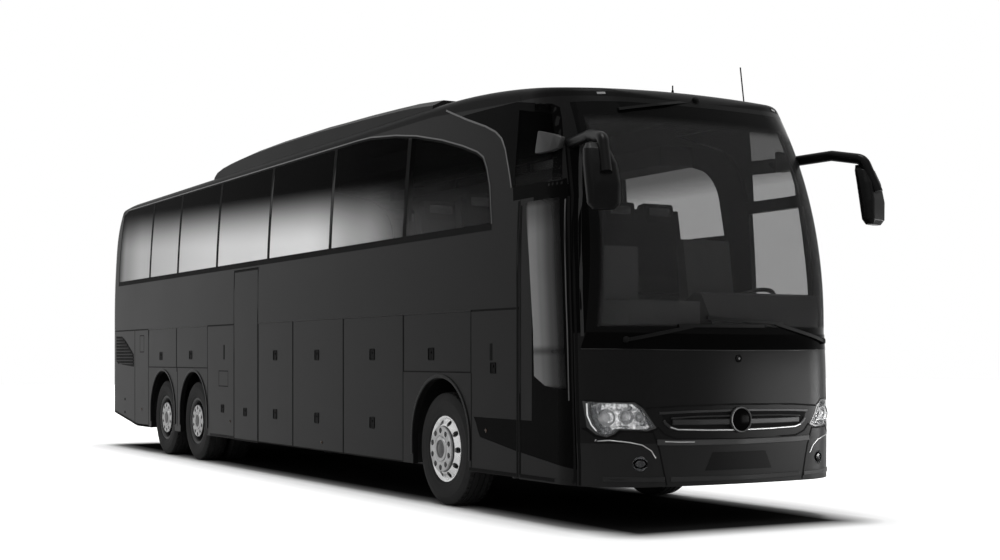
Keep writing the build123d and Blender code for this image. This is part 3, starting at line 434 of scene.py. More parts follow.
def ribbon(shape, run, width, view, closed=False, step=0.15):
    """Band of even width along a run of points in a flat view."""
    part = bmesh.new()
    inner = [part.verts.new(spot(u, v, view)) for u, v in run]
    pairs = list(zip(inner, inner[1:] + inner[:1] if closed else inner[1:]))
    edges = [part.edges.new(pair) for pair in pairs]
    away = facing[view]
    turns = []
    for index in range(len(inner)):
        before = inner[index].co - inner[index - 1].co if index or closed else inner[1].co - inner[0].co
        after = inner[(index + 1) % len(inner)].co - inner[index].co if index < len(inner) - 1 or closed else before
        across = (before.normalized() + after.normalized()).cross(away).normalized()
        turns.append(across * width / max(0.4, across.dot(after.normalized().cross(away))))
    for vert, turn in zip(inner, turns):
        vert.co -= turn / 2
    grown = bmesh.ops.extrude_edge_only(part, edges=edges)
    outer = [item for item in grown["geom"] if isinstance(item, bmesh.types.BMVert)]
    for vert in outer:
        nearest = min(range(len(inner)), key=lambda index: (inner[index].co - vert.co).length)
        vert.co += turns[nearest]
    for edge in list(part.edges):
        cuts = int(edge.calc_length() / step)
        if cuts:
            bmesh.ops.subdivide_edges(part, edges=[edge], cuts=cuts, use_grid_fill=True)
    settle(part, view)
    pour(part, shape)


def patch(shape, outline, view, cell=0.12, lift=-0.0005):
    """Sheet inside an outline of a flat view, cut finely enough to follow the body."""
    part = bmesh.new()
    part.faces.new([part.verts.new(spot(u, v, view)) for u, v in outline])
    for axis in (Vector((1, 0, 0)), Vector((0, 1, 0)), Vector((0, 0, 1))):
        if abs(axis.dot(facing[view])) > 0.5:
            continue
        spans = [vert.co.dot(axis) for vert in part.verts]
        place = min(spans) + cell
        while place < max(spans):
            bmesh.ops.bisect_plane(part, geom=part.verts[:] + part.edges[:] + part.faces[:], dist=1e-5,
                                   plane_co=axis * place, plane_no=axis)
            place += cell
    bmesh.ops.triangulate(part, faces=part.faces)
    settle(part, view, lift)
    pour(part, shape)


def make_piece(name, shape, materials, body="coach", smooth=35):
    """Object from a finished shape, riding on a body."""
    for face in shape.faces:
        face.smooth = True
    for edge in shape.edges:
        edge.smooth = len(edge.link_faces) == 2 and edge.calc_face_angle(pi) < radians(smooth)
    mesh = bpy.data.meshes.new(name)
    shape.to_mesh(mesh)
    shape.free()
    for material in materials if isinstance(materials, (list, tuple)) else [materials]:
        mesh.materials.append(material)
    piece = bpy.data.objects.new(name, mesh)
    bpy.context.scene.collection.objects.link(piece)
    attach(piece, body)
    return piece


def raise_sheet(name, shape, height, material, body="coach", bevel=0.0):
    """Give a laid sheet its height above the body."""
    bmesh.ops.remove_doubles(shape, verts=shape.verts, dist=0.0002)
    piece = make_piece(name, shape, material, body, 50)
    thick = piece.modifiers.new("height", "SOLIDIFY")
    thick.thickness = height
    thick.offset = 1
    if bevel:
        soft = piece.modifiers.new("soft edge", "BEVEL")
        soft.width = bevel
        soft.segments = 2
        soft.limit_method = "ANGLE"
        soft.angle_limit = radians(50)
    return piece


rubber = finish("black rubber", 0.0018, 0.0032, rough=0.6, specular=0.03, grain=1800, relief=0.05, patch=6)
gloss_black = finish("gloss black trim", 0.0010, 0.0016, rough=0.14, specular=0.008, grain=300, relief=0.004, patch=3)
window_top_run = [
    (-10.64, 3.47), (-10.40, 3.53), (-2.0, 3.53), (-1.68, 3.522), (-1.10, 3.468), (-0.635, 3.404), (-0.08, 3.295),
    (0.34, 3.19), (0.62, 3.105), (0.74, 3.045), (0.815, 2.943), (0.873, 2.779), (0.93, 2.45),
]
window_rear_run = [(-10.69, 2.45), (-10.688, 2.75), (-10.682, 3.02), (-10.665, 3.27), (-10.64, 3.47)]
pillars = {-9.075: 3.53, -7.775: 3.53, -6.17: 3.53, -4.364: 3.53, -2.551: 3.53, -0.759: 3.40}
for view in ("right", "left"):
    seals = bmesh.new()
    ribbon(seals, window_rear_run + window_top_run[1:], 0.022, view)
    ribbon(seals, [(-10.70, 2.447), (0.94, 2.447)], 0.062, view)
    for x, top in pillars.items():
        ribbon(seals, [(x, 2.45), (x, top)], 0.076, view)
    raise_sheet("window_seals_" + view, seals, 0.0022, rubber)

# Tyres: steel-belted coach tyres with two straight grooves, sipes across the
# shoulders and raised rings on the sidewall. The drive axle has twins.
def turned(shape, profile, centre, side, steps=72, closed=False):
    """Ring or dish turned about the axle line from (outwards, radius) points."""
    x, y, z = centre
    verts = [shape.verts.new((x, y + side * out, z + radius)) for out, radius in profile]
    edges = [shape.edges.new(pair) for pair in zip(verts, verts[1:] + verts[:1] if closed else verts[1:])]
    bmesh.ops.spin(shape, geom=verts + edges, cent=centre, axis=(0, 1, 0), angle=2 * pi, steps=steps, use_merge=True)


def close_up(shape):
    """Merge the seams and poles of a turned shape and face it outwards."""
    bmesh.ops.remove_doubles(shape, verts=shape.verts, dist=0.0001)
    bmesh.ops.recalc_face_normals(shape, faces=shape.faces)


tyre_rubber = finish("tyre rubber", 0.009, 0.016, rough=0.75, specular=0.12, grain=900, relief=0.18, patch=9)
wheel_y = 1.09
axle_z = 0.512
tyre_steps = 96
half_tyre = [
    (0.118, 0.288), (0.127, 0.302), (0.133, 0.318), (0.1365, 0.323), (0.1375, 0.330), (0.1360, 0.335),
    (0.1400, 0.348), (0.1440, 0.375), (0.1450, 0.405), (0.1435, 0.432), (0.1440, 0.436), (0.1420, 0.442),
    (0.1385, 0.455), (0.1310, 0.478), (0.1250, 0.4905), (0.1235, 0.4945), (0.1175, 0.5035), (0.1080, 0.5085),
    (0.0860, 0.5110), (0.0845, 0.5000), (0.0765, 0.5000), (0.0750, 0.5115), (0.0330, 0.5120), (0.0315, 0.5005),
    (0.0235, 0.5005), (0.0220, 0.5120),
]
tyre_profile = half_tyre + [(-out, radius) for out, radius in reversed(half_tyre)]
sides = {"right": -1, "left": 1}
wheels = {"front": (0, (0,)), "drive": (-7.08, (0, -0.33)), "tag": (-8.43, (0,))}
for axle, (distance, twins) in wheels.items():
    for side_name, side in sides.items():
        tyre = bmesh.new()
        for twin in twins:
            centre = (front_axle + distance, side * (wheel_y + twin), axle_z)
            turned(tyre, tyre_profile, centre, side, tyre_steps, closed=True)
        close_up(tyre)
        for twin in twins:
            middle = Vector((front_axle + distance, side * (wheel_y + twin), axle_z))
            shoulders = []
            for face in tyre.faces:
                arm = face.calc_center_median() - middle
                reach = (arm.x ** 2 + arm.z ** 2) ** 0.5
                turn = int((atan2(arm.z, arm.x) + pi) / (2 * pi) * tyre_steps)
                if 0.504 < reach < 0.5112 and 0.086 < abs(arm.y) < 0.118 and turn % 2:
                    shoulders.append(face)
            bmesh.ops.inset_individual(tyre, faces=shoulders, thickness=0.002, depth=-0.007)
        node = f"tyre_{axle}_{side_name}"
        piece = make_piece(node + "_tread", tyre, tyre_rubber, f"wheel_{axle}_{side_name}", 40)
        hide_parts(node)

# Front rims: forged and turned, bright, with ten hand holes round a proud hub
# flange. Rear rims: painted steel deep inside, behind the same bright flange.
def cut_holes(piece, centre, side, circle, radius, low, high, count=10, start=0.0):
    """Bore a ring of round holes through a wheel."""
    cutter_shape = bmesh.new()
    for index in range(count):
        angle = start + 2 * pi * index / count
        place = Vector(
            (centre[0] + circle * cos(angle), centre[1] + side * (low + high) / 2, centre[2] + circle * sin(angle))
        )
        bmesh.ops.create_cone(
            cutter_shape, cap_ends=True, segments=20, radius1=radius, radius2=radius, depth=high - low,
            matrix=Matrix.Translation(place) @ Matrix.Rotation(pi / 2, 4, "X"),
        )
    mesh = bpy.data.meshes.new("cutter")
    cutter_shape.to_mesh(mesh)
    cutter_shape.free()
    cutter = bpy.data.objects.new("cutter", mesh)
    bpy.context.scene.collection.objects.link(cutter)
    bore = piece.modifiers.new("holes", "BOOLEAN")
    bore.operation = "DIFFERENCE"
    bore.object = cutter
    bore.solver = "EXACT"
    bpy.context.view_layer.update()
    baked = bpy.data.meshes.new_from_object(piece.evaluated_get(bpy.context.evaluated_depsgraph_get()))
    piece.modifiers.clear()
    piece.data = baked
    bpy.data.objects.remove(cutter)


bright_alloy = finish("turned alloy", 0.50, 0.64, rough=0.26, metal=1.0, grain=500, relief=0.02, patch=14)
hub_alloy = finish("hub alloy", 0.24, 0.36, rough=0.30, metal=1.0, grain=500, relief=0.02, patch=14)
dark_alloy = finish("cap grey", 0.05, 0.09, rough=0.45, metal=0.6, grain=500, relief=0.03, patch=20)
rim_paint = finish("rim paint", 0.018, 0.035, rough=0.5, metal=0.2, specular=0.3, grain=400, relief=0.05, patch=8)
nut_steel = finish("nut steel", 0.04, 0.10, rough=0.35, metal=1.0, grain=600, relief=0.03, patch=30)
stud_circle = 0.1675
stud_count = 10
first_stud = pi / stud_count
outer_flange = [
    (0.096, 0.268), (0.108, 0.274), (0.117, 0.286), (0.1185, 0.2965), (0.1225, 0.2985), (0.1270, 0.2975),
    (0.1282, 0.2920)
]
inner_flange = [
    (-0.1282, 0.2960), (-0.1225, 0.2985), (-0.1185, 0.2965), (-0.117, 0.286), (-0.108, 0.274), (-0.096, 0.268)
]
front_face = [
    (0.1250, 0.2830), (0.1180, 0.2750), (0.1130, 0.2680), (0.1180, 0.2560), (0.1290, 0.2400), (0.1400, 0.2260),
    (0.1470, 0.2160), (0.1480, 0.2100), (0.1400, 0.2080), (0.0760, 0.2080), (0.0740, 0.2680),
]
rear_face = [
    (0.1250, 0.2830), (0.1160, 0.2720), (0.1000, 0.2640), (0.0600, 0.2580), (-0.0400, 0.2520), (-0.0800, 0.2460),
    (-0.0920, 0.2360), (-0.0940, 0.2000), (-0.1060, 0.2000), (-0.1060, 0.2680),
]
for axle, (distance, twins) in wheels.items():
    for side_name, side in sides.items():
        node = f"rim_{axle}_{side_name}"
        body = f"wheel_{axle}_{side_name}"
        centre = (front_axle + distance, side * wheel_y, axle_z)
        front = axle == "front"
        rim = bmesh.new()
        turned(rim, outer_flange + (front_face if front else rear_face) + inner_flange, centre, side, 72, closed=True)
        close_up(rim)
        piece = make_piece(node + "_dish", rim, bright_alloy if front else rim_paint, body, 40)
        if front:
            cut_holes(piece, centre, side, 0.241, 0.0265, 0.06, 0.18)
        else:
            cut_holes(piece, centre, side, 0.224, 0.0200, -0.14, -0.05, start=first_stud)
        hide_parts(node)
        if len(twins) > 1:
            inner = bmesh.new()
            inner_centre = (centre[0], side * (wheel_y + twins[1]), axle_z)
            turned(inner, outer_flange + rear_face + inner_flange, inner_centre, -side, 48, closed=True)
            close_up(inner)
            make_piece(node + "_inner", inner, rim_paint, body, 40)
        face = 0.180 if front else 0.128
        root = 0.070 if front else -0.100
        hub = bmesh.new()
        turned(
            hub,
            [(root, 0.196), (face - 0.030, 0.200), (face - 0.022, 0.207), (face - 0.006, 0.207), (face, 0.201),
             (face, 0.124), (face - 0.006, 0.118), (face - 0.006, 0.112), (face + 0.002, 0.109),
             (face + 0.006, 0.100), (face + 0.006, 0.086), (face + 0.001, 0.080), (face - 0.012, 0.078),
             (face - 0.012, 0.0), (root, 0.0)],
            centre, side, 64, closed=True,
        )
        close_up(hub)
        plate = make_piece(node + "_hub", hub, hub_alloy, body, 40)
        cut_holes(plate, centre, side, stud_circle, 0.0255, face - 0.020, face + 0.02, start=first_stud)
        cap = bmesh.new()
        turned(
            cap,
            [(face - 0.011, 0.079), (face - 0.002, 0.076), (face + 0.003, 0.066), (face + 0.003, 0.058),
             (face - 0.001, 0.054), (face + 0.004, 0.046), (face + 0.007, 0.020), (face + 0.0075, 0.0),
             (face - 0.011, 0.0)],
            centre, side, 40, closed=True,
        )
        close_up(cap)
        make_piece(node + "_cap", cap, dark_alloy, body, 40)
        nuts = bmesh.new()
        for index in range(stud_count):
            angle = first_stud + 2 * pi * index / stud_count
            for radius, low, high, segments in ((0.0150, -0.021, -0.001, 6), (0.0085, -0.005, 0.004, 12)):
                place = Vector((
                    centre[0] + stud_circle * cos(angle), centre[1] + side * (face + (low + high) / 2),
                    centre[2] + stud_circle * sin(angle),
                ))
                bmesh.ops.create_cone(
                    nuts, cap_ends=True, segments=segments, radius1=radius, radius2=radius * 0.94, depth=high - low,
                    matrix=Matrix.Translation(place) @ Matrix.Rotation(side * -pi / 2, 4, "X"),
                )
        bmesh.ops.bevel(
            nuts, geom=nuts.edges[:], offset=0.0012, offset_type="OFFSET", segments=1, profile=0.5, affect="EDGES",
            material=-1,
        )
        make_piece(node + "_nuts", nuts, nut_steel, body, 30)

# Hoop and side beading: the body swells into a thin bead round the window
# opening and again where the hoop meets the cab, each in pale grey as a painted highlight along its edge.
bead_highlight_paint = finish("edge bead painted highlight", 0.030, 0.045, rough=0.3, specular=0.4, grain=1400, relief=0.01, patch=0.8)
hoop_run = [
    (-0.05, 3.575), (0.40, 3.427), (0.74, 3.325), (0.93, 3.253), (1.04, 3.184), (1.12, 3.083), (1.19, 2.93),
    (1.23, 2.835), (1.262, 2.745),
]
for view in ("right", "left"):
    beads = bmesh.new()
    ribbon(
        beads, [(x, z + 0.016) for x, z in window_top_run[1:-2]] + [(0.889, 2.79), (0.945, 2.47)], 0.013, view,
        step=0.08
    )
    raise_sheet("window_bead_" + view, beads, 0.004, bead_highlight_paint, bevel=0.0015)
    hoop = bmesh.new()
    ribbon(hoop, hoop_run, 0.016, view, step=0.08)
    raise_sheet("hoop_bead_" + view, hoop, 0.005, bead_highlight_paint, bevel=0.002)

# Wheel arch lips: pressed rims riveted round each opening, standing a little
# proud so that they catch the light, in paint a shade paler than the body's as a painted highlight.
arch_centre_z = 0.6
arch_lip_radius = 0.570
arch_lip_foot = 0.44
arch_lip_highlight_paint = finish("arch lip painted highlight", 0.0065, 0.0090, rough=0.35, specular=0.06, grain=1400, relief=0.012, patch=1.2)
for view in ("right", "left"):
    lips = bmesh.new()
    for distance, _ in wheels.values():
        arc = [
            (distance + arch_lip_radius * cos(radians(turn)), arch_centre_z + arch_lip_radius * sin(radians(turn)))
            for turn in range(0, 181, 6)
        ]
        feet = [(distance + way * arch_lip_radius, arch_lip_foot) for way in (1, -1)]
        ribbon(lips, feet[:1] + arc + feet[1:], 0.030, view, step=0.5)
    raise_sheet("arch_lips_" + view, lips, 0.010, arch_lip_highlight_paint, bevel=0.004)

# Fixed panel joints and skirt: sealed joints between bonded panels, and a
# black rubber rubbing edge along the bottom.
fixed_joints = [
    [(-10.86, 1.74), (-9.11, 1.74)], [(-6.497, 1.74), (-5.52, 1.74)], [(0.598, 1.74), (1.42, 1.74)],
    [(-9.11, 1.74), (-9.11, 0.36)],
    [(-9.80, 1.74), (-9.80, 0.36)], [(-7.80, 1.2), (-7.80, 1.15)], [(-6.497, 1.2), (-6.497, 0.36)],
    [(0.598, 1.2), (0.598, 0.36)],
    [(-7.76, 0.42), (-7.76, 1.2)],
]
skirt_runs = [[(-10.84, 0.522), (-9.67, 0.368)], [(-9.67, 0.368), (-8.95, 0.368)], [(-6.55, 0.368), (-5.53, 0.368)],
              [(0.56, 0.368), (1.41, 0.368)]]
for view, side in (("right", -1), ("left", 1)):
    joints = bmesh.new()
    for run in fixed_joints:
        ribbon(joints, run, 0.018, view)
    if side > 0:
        for run in ([(1.42, 1.74), (1.42, 0.36)], [(1.42, 1.74), (2.20, 1.74)]):
            ribbon(joints, run, 0.012, view)
    raise_sheet("panel_joints_" + view, joints, 0.0012, rubber)
    skirt = bmesh.new()
    for run in skirt_runs + ([[(1.43, 0.368), (2.24, 0.368)]] if side > 0 else []):
        ribbon(skirt, run, 0.030, view)
    raise_sheet("skirt_rubber_" + view, skirt, 0.003, rubber, bevel=0.001)

# Flap edges: each bay flap, service hatch and the middle door wears a black
# rubber edge that closes against its neighbour.
for node, body in sorted(flap_bodies.items()):
    if node.startswith(("flap_", "hatch_")) or node == "mid_door":
        view = "left" if "_left" in node else "right"
        lengths = [vert.co.x - front_axle for vert in frame["nodes"][node].data.vertices]
        heights = [vert.co.z for vert in frame["nodes"][node].data.vertices]
        width = 0.022 if node == "mid_door" else 0.013
        rear, front = min(lengths) + width / 2, max(lengths) - width / 2
        low, high = min(heights) + width / 2, max(heights) - width / 2
        edge = bmesh.new()
        ribbon(edge, [(rear, low), (front, low), (front, high), (rear, high)], width, view, closed=True)
        raise_sheet(node + "_edge", edge, 0.0010, rubber, body)

# Flap and door catches: black pressed cups, 116 mm across, each with a lock
# barrel. They ride on the flap that they hold shut.
catch_black = finish("catch black", 0.0008, 0.0014, rough=0.45, specular=0.02, grain=700, relief=0.03, patch=12)
catches = {
    "hatch_{}_front": [(-0.179, 1.368)], "flap_{}_front": [(-1.47, 1.367), (-1.47, 0.695)],
    "flap_{}_middle": [(-2.89, 1.364), (-2.89, 0.693)], "flap_{}_rear": [(-4.12, 0.696), (-4.12, 1.364)],
    "hatch_{}_drive": [(-7.189, 1.373)], "hatch_{}_tag": [(-8.508, 1.361)],
}


def catch(shape, u, v, view, size=0.058):
    """Cup with a rounded square rim, a sunk floor and a lock barrel."""
    place, normal = on_skin(spot(u, v, view), view)
    stand = normal.to_track_quat("Z", "Y").to_matrix().to_4x4()
    made = bmesh.new()
    made.faces.new([made.verts.new((size * x, size * y, 0)) for x, y in ((-1, -1), (1, -1), (1, 1), (-1, 1))])
    bmesh.ops.bevel(
        made, geom=made.verts[:], offset=size * 0.30, segments=4, profile=0.5, affect="VERTICES", material=-1
    )
    rim = made.faces[:]
    grown = bmesh.ops.extrude_face_region(made, geom=rim)
    top = [item for item in grown["geom"] if isinstance(item, bmesh.types.BMFace)]
    bmesh.ops.translate(made, verts=list({vert for face in top for vert in face.verts}), vec=(0, 0, 0.005))
    bmesh.ops.inset_region(made, faces=top, thickness=0.007, depth=0)
    bmesh.ops.inset_region(made, faces=top, thickness=0.003, depth=-0.004)
    bmesh.ops.create_cone(made, cap_ends=True, segments=20, radius1=0.011, radius2=0.010, depth=0.006,
                          matrix=Matrix.Translation((0, size * 0.25, 0.003)))
    bmesh.ops.recalc_face_normals(made, faces=made.faces)
    made.transform(Matrix.Translation(place - normal * 0.0005) @ stand)
    pour(made, shape)


for side_name in sides:
    for pattern, places in catches.items():
        cups = bmesh.new()
        node = pattern.format(side_name)
        for u, v in places:
            catch(cups, u, v, side_name)
        make_piece(node + "_catches", cups, catch_black, flap_bodies[node], 30)
cups = bmesh.new()
catch(cups, -5.115, 0.688, "right", 0.052)
make_piece("mid_door_catch", cups, catch_black, "mid_door", 30)
for view in ("right", "left"):
    cups = bmesh.new()
    catch(cups, -5.927, 0.707, view, 0.052)
    make_piece("service_catch_" + view, cups, catch_black, "coach", 30)

# Rear air intake: nine raked slats over a dark duct, moulded in plastic and
# clipped into each rear quarter beside the engine.
slat_paint = finish("slat black", 0.005, 0.008, rough=0.45, specular=0.05, grain=900, relief=0.02, patch=4)
for view, side in (("right", -1), ("left", 1)):
    duct = bmesh.new()
    patch(duct, [(-10.80, 1.285), (-10.68, 1.245), (-9.84, 1.205), (-9.86, 1.385), (-9.95, 1.435), (-10.28, 1.590),
                 (-10.48, 1.655),
                 (-10.80, 1.660)], view)
    raise_sheet("intake_duct_" + view, duct, 0.001, rubber)
    slats = bmesh.new()
    for index in range(9):
        z = 1.250 + index * 0.046
        front = -9.87 - max(0.0, z - 1.38) * 2.2
        ribbon(slats, [(-10.79 if z > 1.28 else -10.62, z), (front, z)], 0.017, view, step=0.3)
    raise_sheet("intake_slats_" + view, slats, 0.009, slat_paint, bevel=0.004)

# Headlamps: a clear moulded lens over chromed bowls, with a light strip down
# the outer edge. The tail lamps share the same lens moulding, in red.
def on_axis(shape, profile, place, normal, steps=32):
    """Round part turned about a line square to the body, from (radius, height) points."""
    made = bmesh.new()
    verts = [made.verts.new((radius, 0, height)) for radius, height in profile]
    edges = [made.edges.new(pair) for pair in zip(verts, verts[1:])]
    bmesh.ops.spin(
        made, geom=verts + edges, cent=(0, 0, 0), axis=(0, 0, 1), angle=2 * pi, steps=steps, use_merge=True
    )
    bmesh.ops.remove_doubles(made, verts=made.verts, dist=0.00005)
    bmesh.ops.recalc_face_normals(made, faces=made.faces)
    made.transform(Matrix.Translation(place) @ normal.to_track_quat("Z", "Y").to_matrix().to_4x4())
    pour(made, shape)


def clear_lens(name, tint, alpha):
    """Moulded lens: smooth outside, faint flutes inside."""
    made = bpy.data.materials.new(name)
    tree, shader, split = node_chain(made)
    shader.inputs["Roughness"].default_value = 0.05
    shader.inputs["Specular IOR Level"].default_value = 0.25
    flutes = tree.nodes.new("ShaderNodeTexWave")
    flutes.bands_direction = "Y"
    flutes.inputs["Scale"].default_value = 22
    flutes.inputs["Distortion"].default_value = 1.5
    place = tree.nodes.new("ShaderNodeTexCoord")
    tree.links.new(place.outputs["Object"], flutes.inputs["Vector"])
    tone = tree.nodes.new("ShaderNodeValToRGB")
    tone.color_ramp.elements[0].color = (*[part * 0.8 for part in tint], 1)
    tone.color_ramp.elements[1].color = (*tint, 1)
    tree.links.new(flutes.outputs["Fac"], tone.inputs["Fac"])
    tree.links.new(tone.outputs["Color"], shader.inputs["Base Color"])
    tree.links.new(spread(tree, flutes.outputs["Fac"], 0, 1, alpha, alpha + 0.08), shader.inputs["Alpha"])
    return made


lens_clear = clear_lens("lamp lens", (0.75, 0.77, 0.80), 0.04)
lens_red = clear_lens("tail lamp lens", (0.28, 0.006, 0.006), 0.86)
lenses = dress("lamps", lens_clear)
lenses.data.materials.append(lens_red)
for face in lenses.data.polygons:
    face.material_index = 1 if face.center.x < 0 else 0
chrome = finish("lamp chrome", 0.55, 0.85, rough=0.12, metal=1.0, grain=250, relief=0.03, patch=26)
bowl_back = finish("lamp reflector", 0.03, 0.95, rough=0.12, metal=1.0, grain=90, relief=0.6, patch=34)
lamp_dark = finish("lamp surround", 0.006, 0.012, rough=0.3, specular=0.4, grain=600, relief=0.02, patch=10)
strip_white = finish("light strip", 0.80, 0.95, rough=0.25, specular=0.5, grain=300, relief=0.02, patch=30)
bulb_glass = finish(
    "projector glass", 0.10, 0.32, rough=0.05, specular=0.8, grain=200, relief=0.0, patch=16, coat=0.6
)
lamp_edge = [(1.207, 0.992), (0.925, 0.984), (0.868, 0.940), (0.770, 0.797), (0.835, 0.777), (1.030, 0.786),
             (1.062, 0.752), (1.100, 0.730), (1.150, 0.748),
             (1.190, 0.800)]
bowls = [(1.112, 0.872, 0.066), (0.985, 0.878, 0.056), (0.892, 0.880, 0.040), (1.108, 0.782, 0.026),
         (0.965, 0.945, 0.020),
         (0.860, 0.830, 0.022)]
for side_name, side in sides.items():
    housing = bmesh.new()
    outline = [(side * y, z) for y, z in lamp_edge]
    patch(housing, outline, "front", cell=0.04, lift=-0.062)
    rim = [edge for edge in housing.edges if len(edge.link_faces) == 1]
    grown = bmesh.ops.extrude_edge_only(housing, edges=rim)
    for vert in (item for item in grown["geom"] if isinstance(item, bmesh.types.BMVert)):
        place, normal = on_skin(vert.co, "front")
        vert.co = place - normal * 0.014
    make_piece("headlamp_housing_" + side_name, housing, bowl_back, smooth=25)
    units = bmesh.new()
    glasses = bmesh.new()
    for y, z, radius in bowls:
        place, normal = on_skin(spot(side * y, z, "front"), "front")
        axis = (normal + Vector((1.2, 0, 0))).normalized()
        base = place - normal * 0.056
        on_axis(
            units,
            [(radius, 0.036), (radius * 1.04, 0.038), (radius * 1.07, 0.034), (radius * 1.05, -0.004),
             (radius * 0.98, -0.004), (radius * 0.97, 0.030), (radius * 0.86, 0.014), (radius * 0.66, 0.002),
             (radius * 0.45, -0.004),
            (0.0, -0.005)],
            base, axis, 28,
        )
        on_axis(
            glasses,
            [
                (radius * 0.50, -0.004), (radius * 0.50, 0.010), (radius * 0.42, 0.021), (radius * 0.26, 0.028),
                (0.0, 0.031)
            ],
            base, axis, 24,
        )
    make_piece("headlamp_bowls_" + side_name, units, chrome, smooth=40)
    make_piece("headlamp_projectors_" + side_name, glasses, bulb_glass, smooth=60)
    surround = bmesh.new()
    ribbon(surround, outline, 0.012, "front", closed=True, step=0.05)
    ribbon(
        surround, [(side * 1.180, 0.985), (side * 1.178, 0.890), (side * 1.160, 0.815), (side * 1.135, 0.762)], 0.007,
        "front", step=0.05
    )
    ribbon(surround, [(side * 0.905, 0.962), (side * 0.865, 0.900), (side * 0.805, 0.806)], 0.006, "front", step=0.05)
    raise_sheet("headlamp_surround_" + side_name, surround, 0.002, lamp_dark)
    groove = bmesh.new()
    ribbon(groove, [(side * 0.752, 0.792), (side * 0.835, 0.765), (side * 1.022, 0.773), (side * 1.052, 0.741),
                    (side * 1.098, 0.716), (side * 1.158, 0.734),
                    (side * 1.205, 0.792)], 0.020, "front", step=0.05)
    raise_sheet("headlamp_groove_" + side_name, groove, 0.0012, rubber)
    strip = bmesh.new()
    ribbon(
        strip, [(side * 1.196, 0.982), (side * 1.194, 0.888), (side * 1.177, 0.818), (side * 1.152, 0.770)], 0.006,
        "front", step=0.04
    )
    raise_sheet("headlamp_strip_" + side_name, strip, 0.0025, strip_white, bevel=0.001)

# Fog lamps: oval, sunk at each end of the bumper, in a black ring, with a
# smoked lens over a dark bowl.
fog_lens = clear_lens("fog lamp lens", (0.03, 0.03, 0.032), 0.55)
for side_name, side in sides.items():
    place, normal = on_skin(spot(side * 0.885, 0.520, "front"), "front")
    ring = bmesh.new()
    on_axis(
        ring, [(0.038, -0.010), (0.040, 0.004), (0.046, 0.008), (0.054, 0.005), (0.058, -0.003), (0.050, -0.010)],
        place, normal, 40
    )
    middle = Matrix.Translation(-place)
    oval = (1, 1, 0.68)
    bmesh.ops.scale(ring, vec=oval, space=middle, verts=ring.verts)
    make_piece("fog_ring_" + side_name, ring, gloss_black)
    bowl = bmesh.new()
    on_axis(bowl, [(0.039, -0.009), (0.034, -0.028), (0.020, -0.038), (0.0, -0.040)], place, normal, 32)
    on_axis(bowl, [(0.016, -0.039), (0.016, -0.028), (0.011, -0.022), (0.0, -0.020)], place, normal, 20)
    bmesh.ops.scale(bowl, vec=oval, space=middle, verts=bowl.verts)
    make_piece("fog_bowl_" + side_name, bowl, lamp_dark)
    glare = bmesh.new()
    on_axis(glare, [(0.041, 0.001), (0.030, 0.002), (0.0, 0.003)], place, normal, 32)
    bmesh.ops.scale(glare, vec=oval, space=middle, verts=glare.verts)
    make_piece("fog_shade_" + side_name, glare, fog_lens)

# Grille: a shallow dark mouth with two bars each side, a lower lip carrying a
# bright metal strip as a painted highlight, and a plain ring over a domed disc in the middle.
grille_paint = finish("grille paint", 0.008, 0.012, rough=0.3, specular=0.12, grain=1200, relief=0.01, patch=1.2)
highlight_metal = finish("satin metal painted highlight", 0.26, 0.40, rough=0.30, metal=0.9, grain=700, relief=0.03, patch=9)
ring_metal = finish("dark satin ring", 0.035, 0.060, rough=0.35, metal=0.6, grain=700, relief=0.03, patch=9)
dress("grille", paint)
mouth = bmesh.new()
mouth_edge = [(-0.72, 0.900), (-0.690, 0.838), (-0.640, 0.796), (-0.560, 0.776), (0, 0.760), (0.560, 0.776),
              (0.640, 0.796), (0.690, 0.838), (0.72, 0.900), (0.5, 0.908), (0, 0.914),
              (-0.5, 0.908)]
patch(mouth, mouth_edge, "front", cell=0.06)
raise_sheet("grille_mouth", mouth, 0.001, rubber)
bars = bmesh.new()
for side in (-1, 1):
    ribbon(bars, [(side * 0.100, 0.878), (side * 0.400, 0.876), (side * 0.640, 0.866)], 0.014, "front", step=0.06)
    ribbon(bars, [(side * 0.100, 0.832), (side * 0.400, 0.833), (side * 0.628, 0.836)], 0.046, "front", step=0.06)
raise_sheet("grille_bars", bars, 0.014, grille_paint, bevel=0.0065)
frame_bar = bmesh.new()
ribbon(
    frame_bar, [(-0.735, 0.905), (-0.5, 0.914), (0, 0.921), (0.5, 0.914), (0.735, 0.905)], 0.020, "front", step=0.06
)
raise_sheet("grille_brow", frame_bar, 0.006, grille_paint, bevel=0.003)
lip = bmesh.new()
lip_run = [(-0.700, 0.850), (-0.684, 0.826), (-0.645, 0.798), (-0.580, 0.779), (-0.3, 0.770), (0, 0.766),
           (0.3, 0.770), (0.580, 0.779), (0.645, 0.798), (0.684, 0.826),
           (0.700, 0.850)]
ribbon(lip, lip_run, 0.024, "front", step=0.05)
raise_sheet("grille_lip", lip, 0.010, grille_paint, bevel=0.0045)
# A bright metal strip along the middle of the lip, a painted highlight.
glint = bmesh.new()
ribbon(glint, lip_run[2:-2], 0.010, "front", step=0.05)
raise_sheet("grille_lip_painted_highlight", glint, 0.012, highlight_metal, bevel=0.003)
place, normal = on_skin(spot(0, 0.846, "front"), "front")
disc = bmesh.new()
on_axis(disc, [(0.094, 0.004), (0.090, 0.015), (0.072, 0.020), (0.040, 0.024), (0.0, 0.026)], place, normal, 48)
make_piece("grille_disc", disc, gloss_black)
ring = bmesh.new()
on_axis(
    ring, [(0.090, 0.004), (0.088, 0.020), (0.091, 0.026), (0.097, 0.027), (0.102, 0.022), (0.103, 0.004)], place,
    normal, 64
)
make_piece("grille_ring", ring, ring_metal)
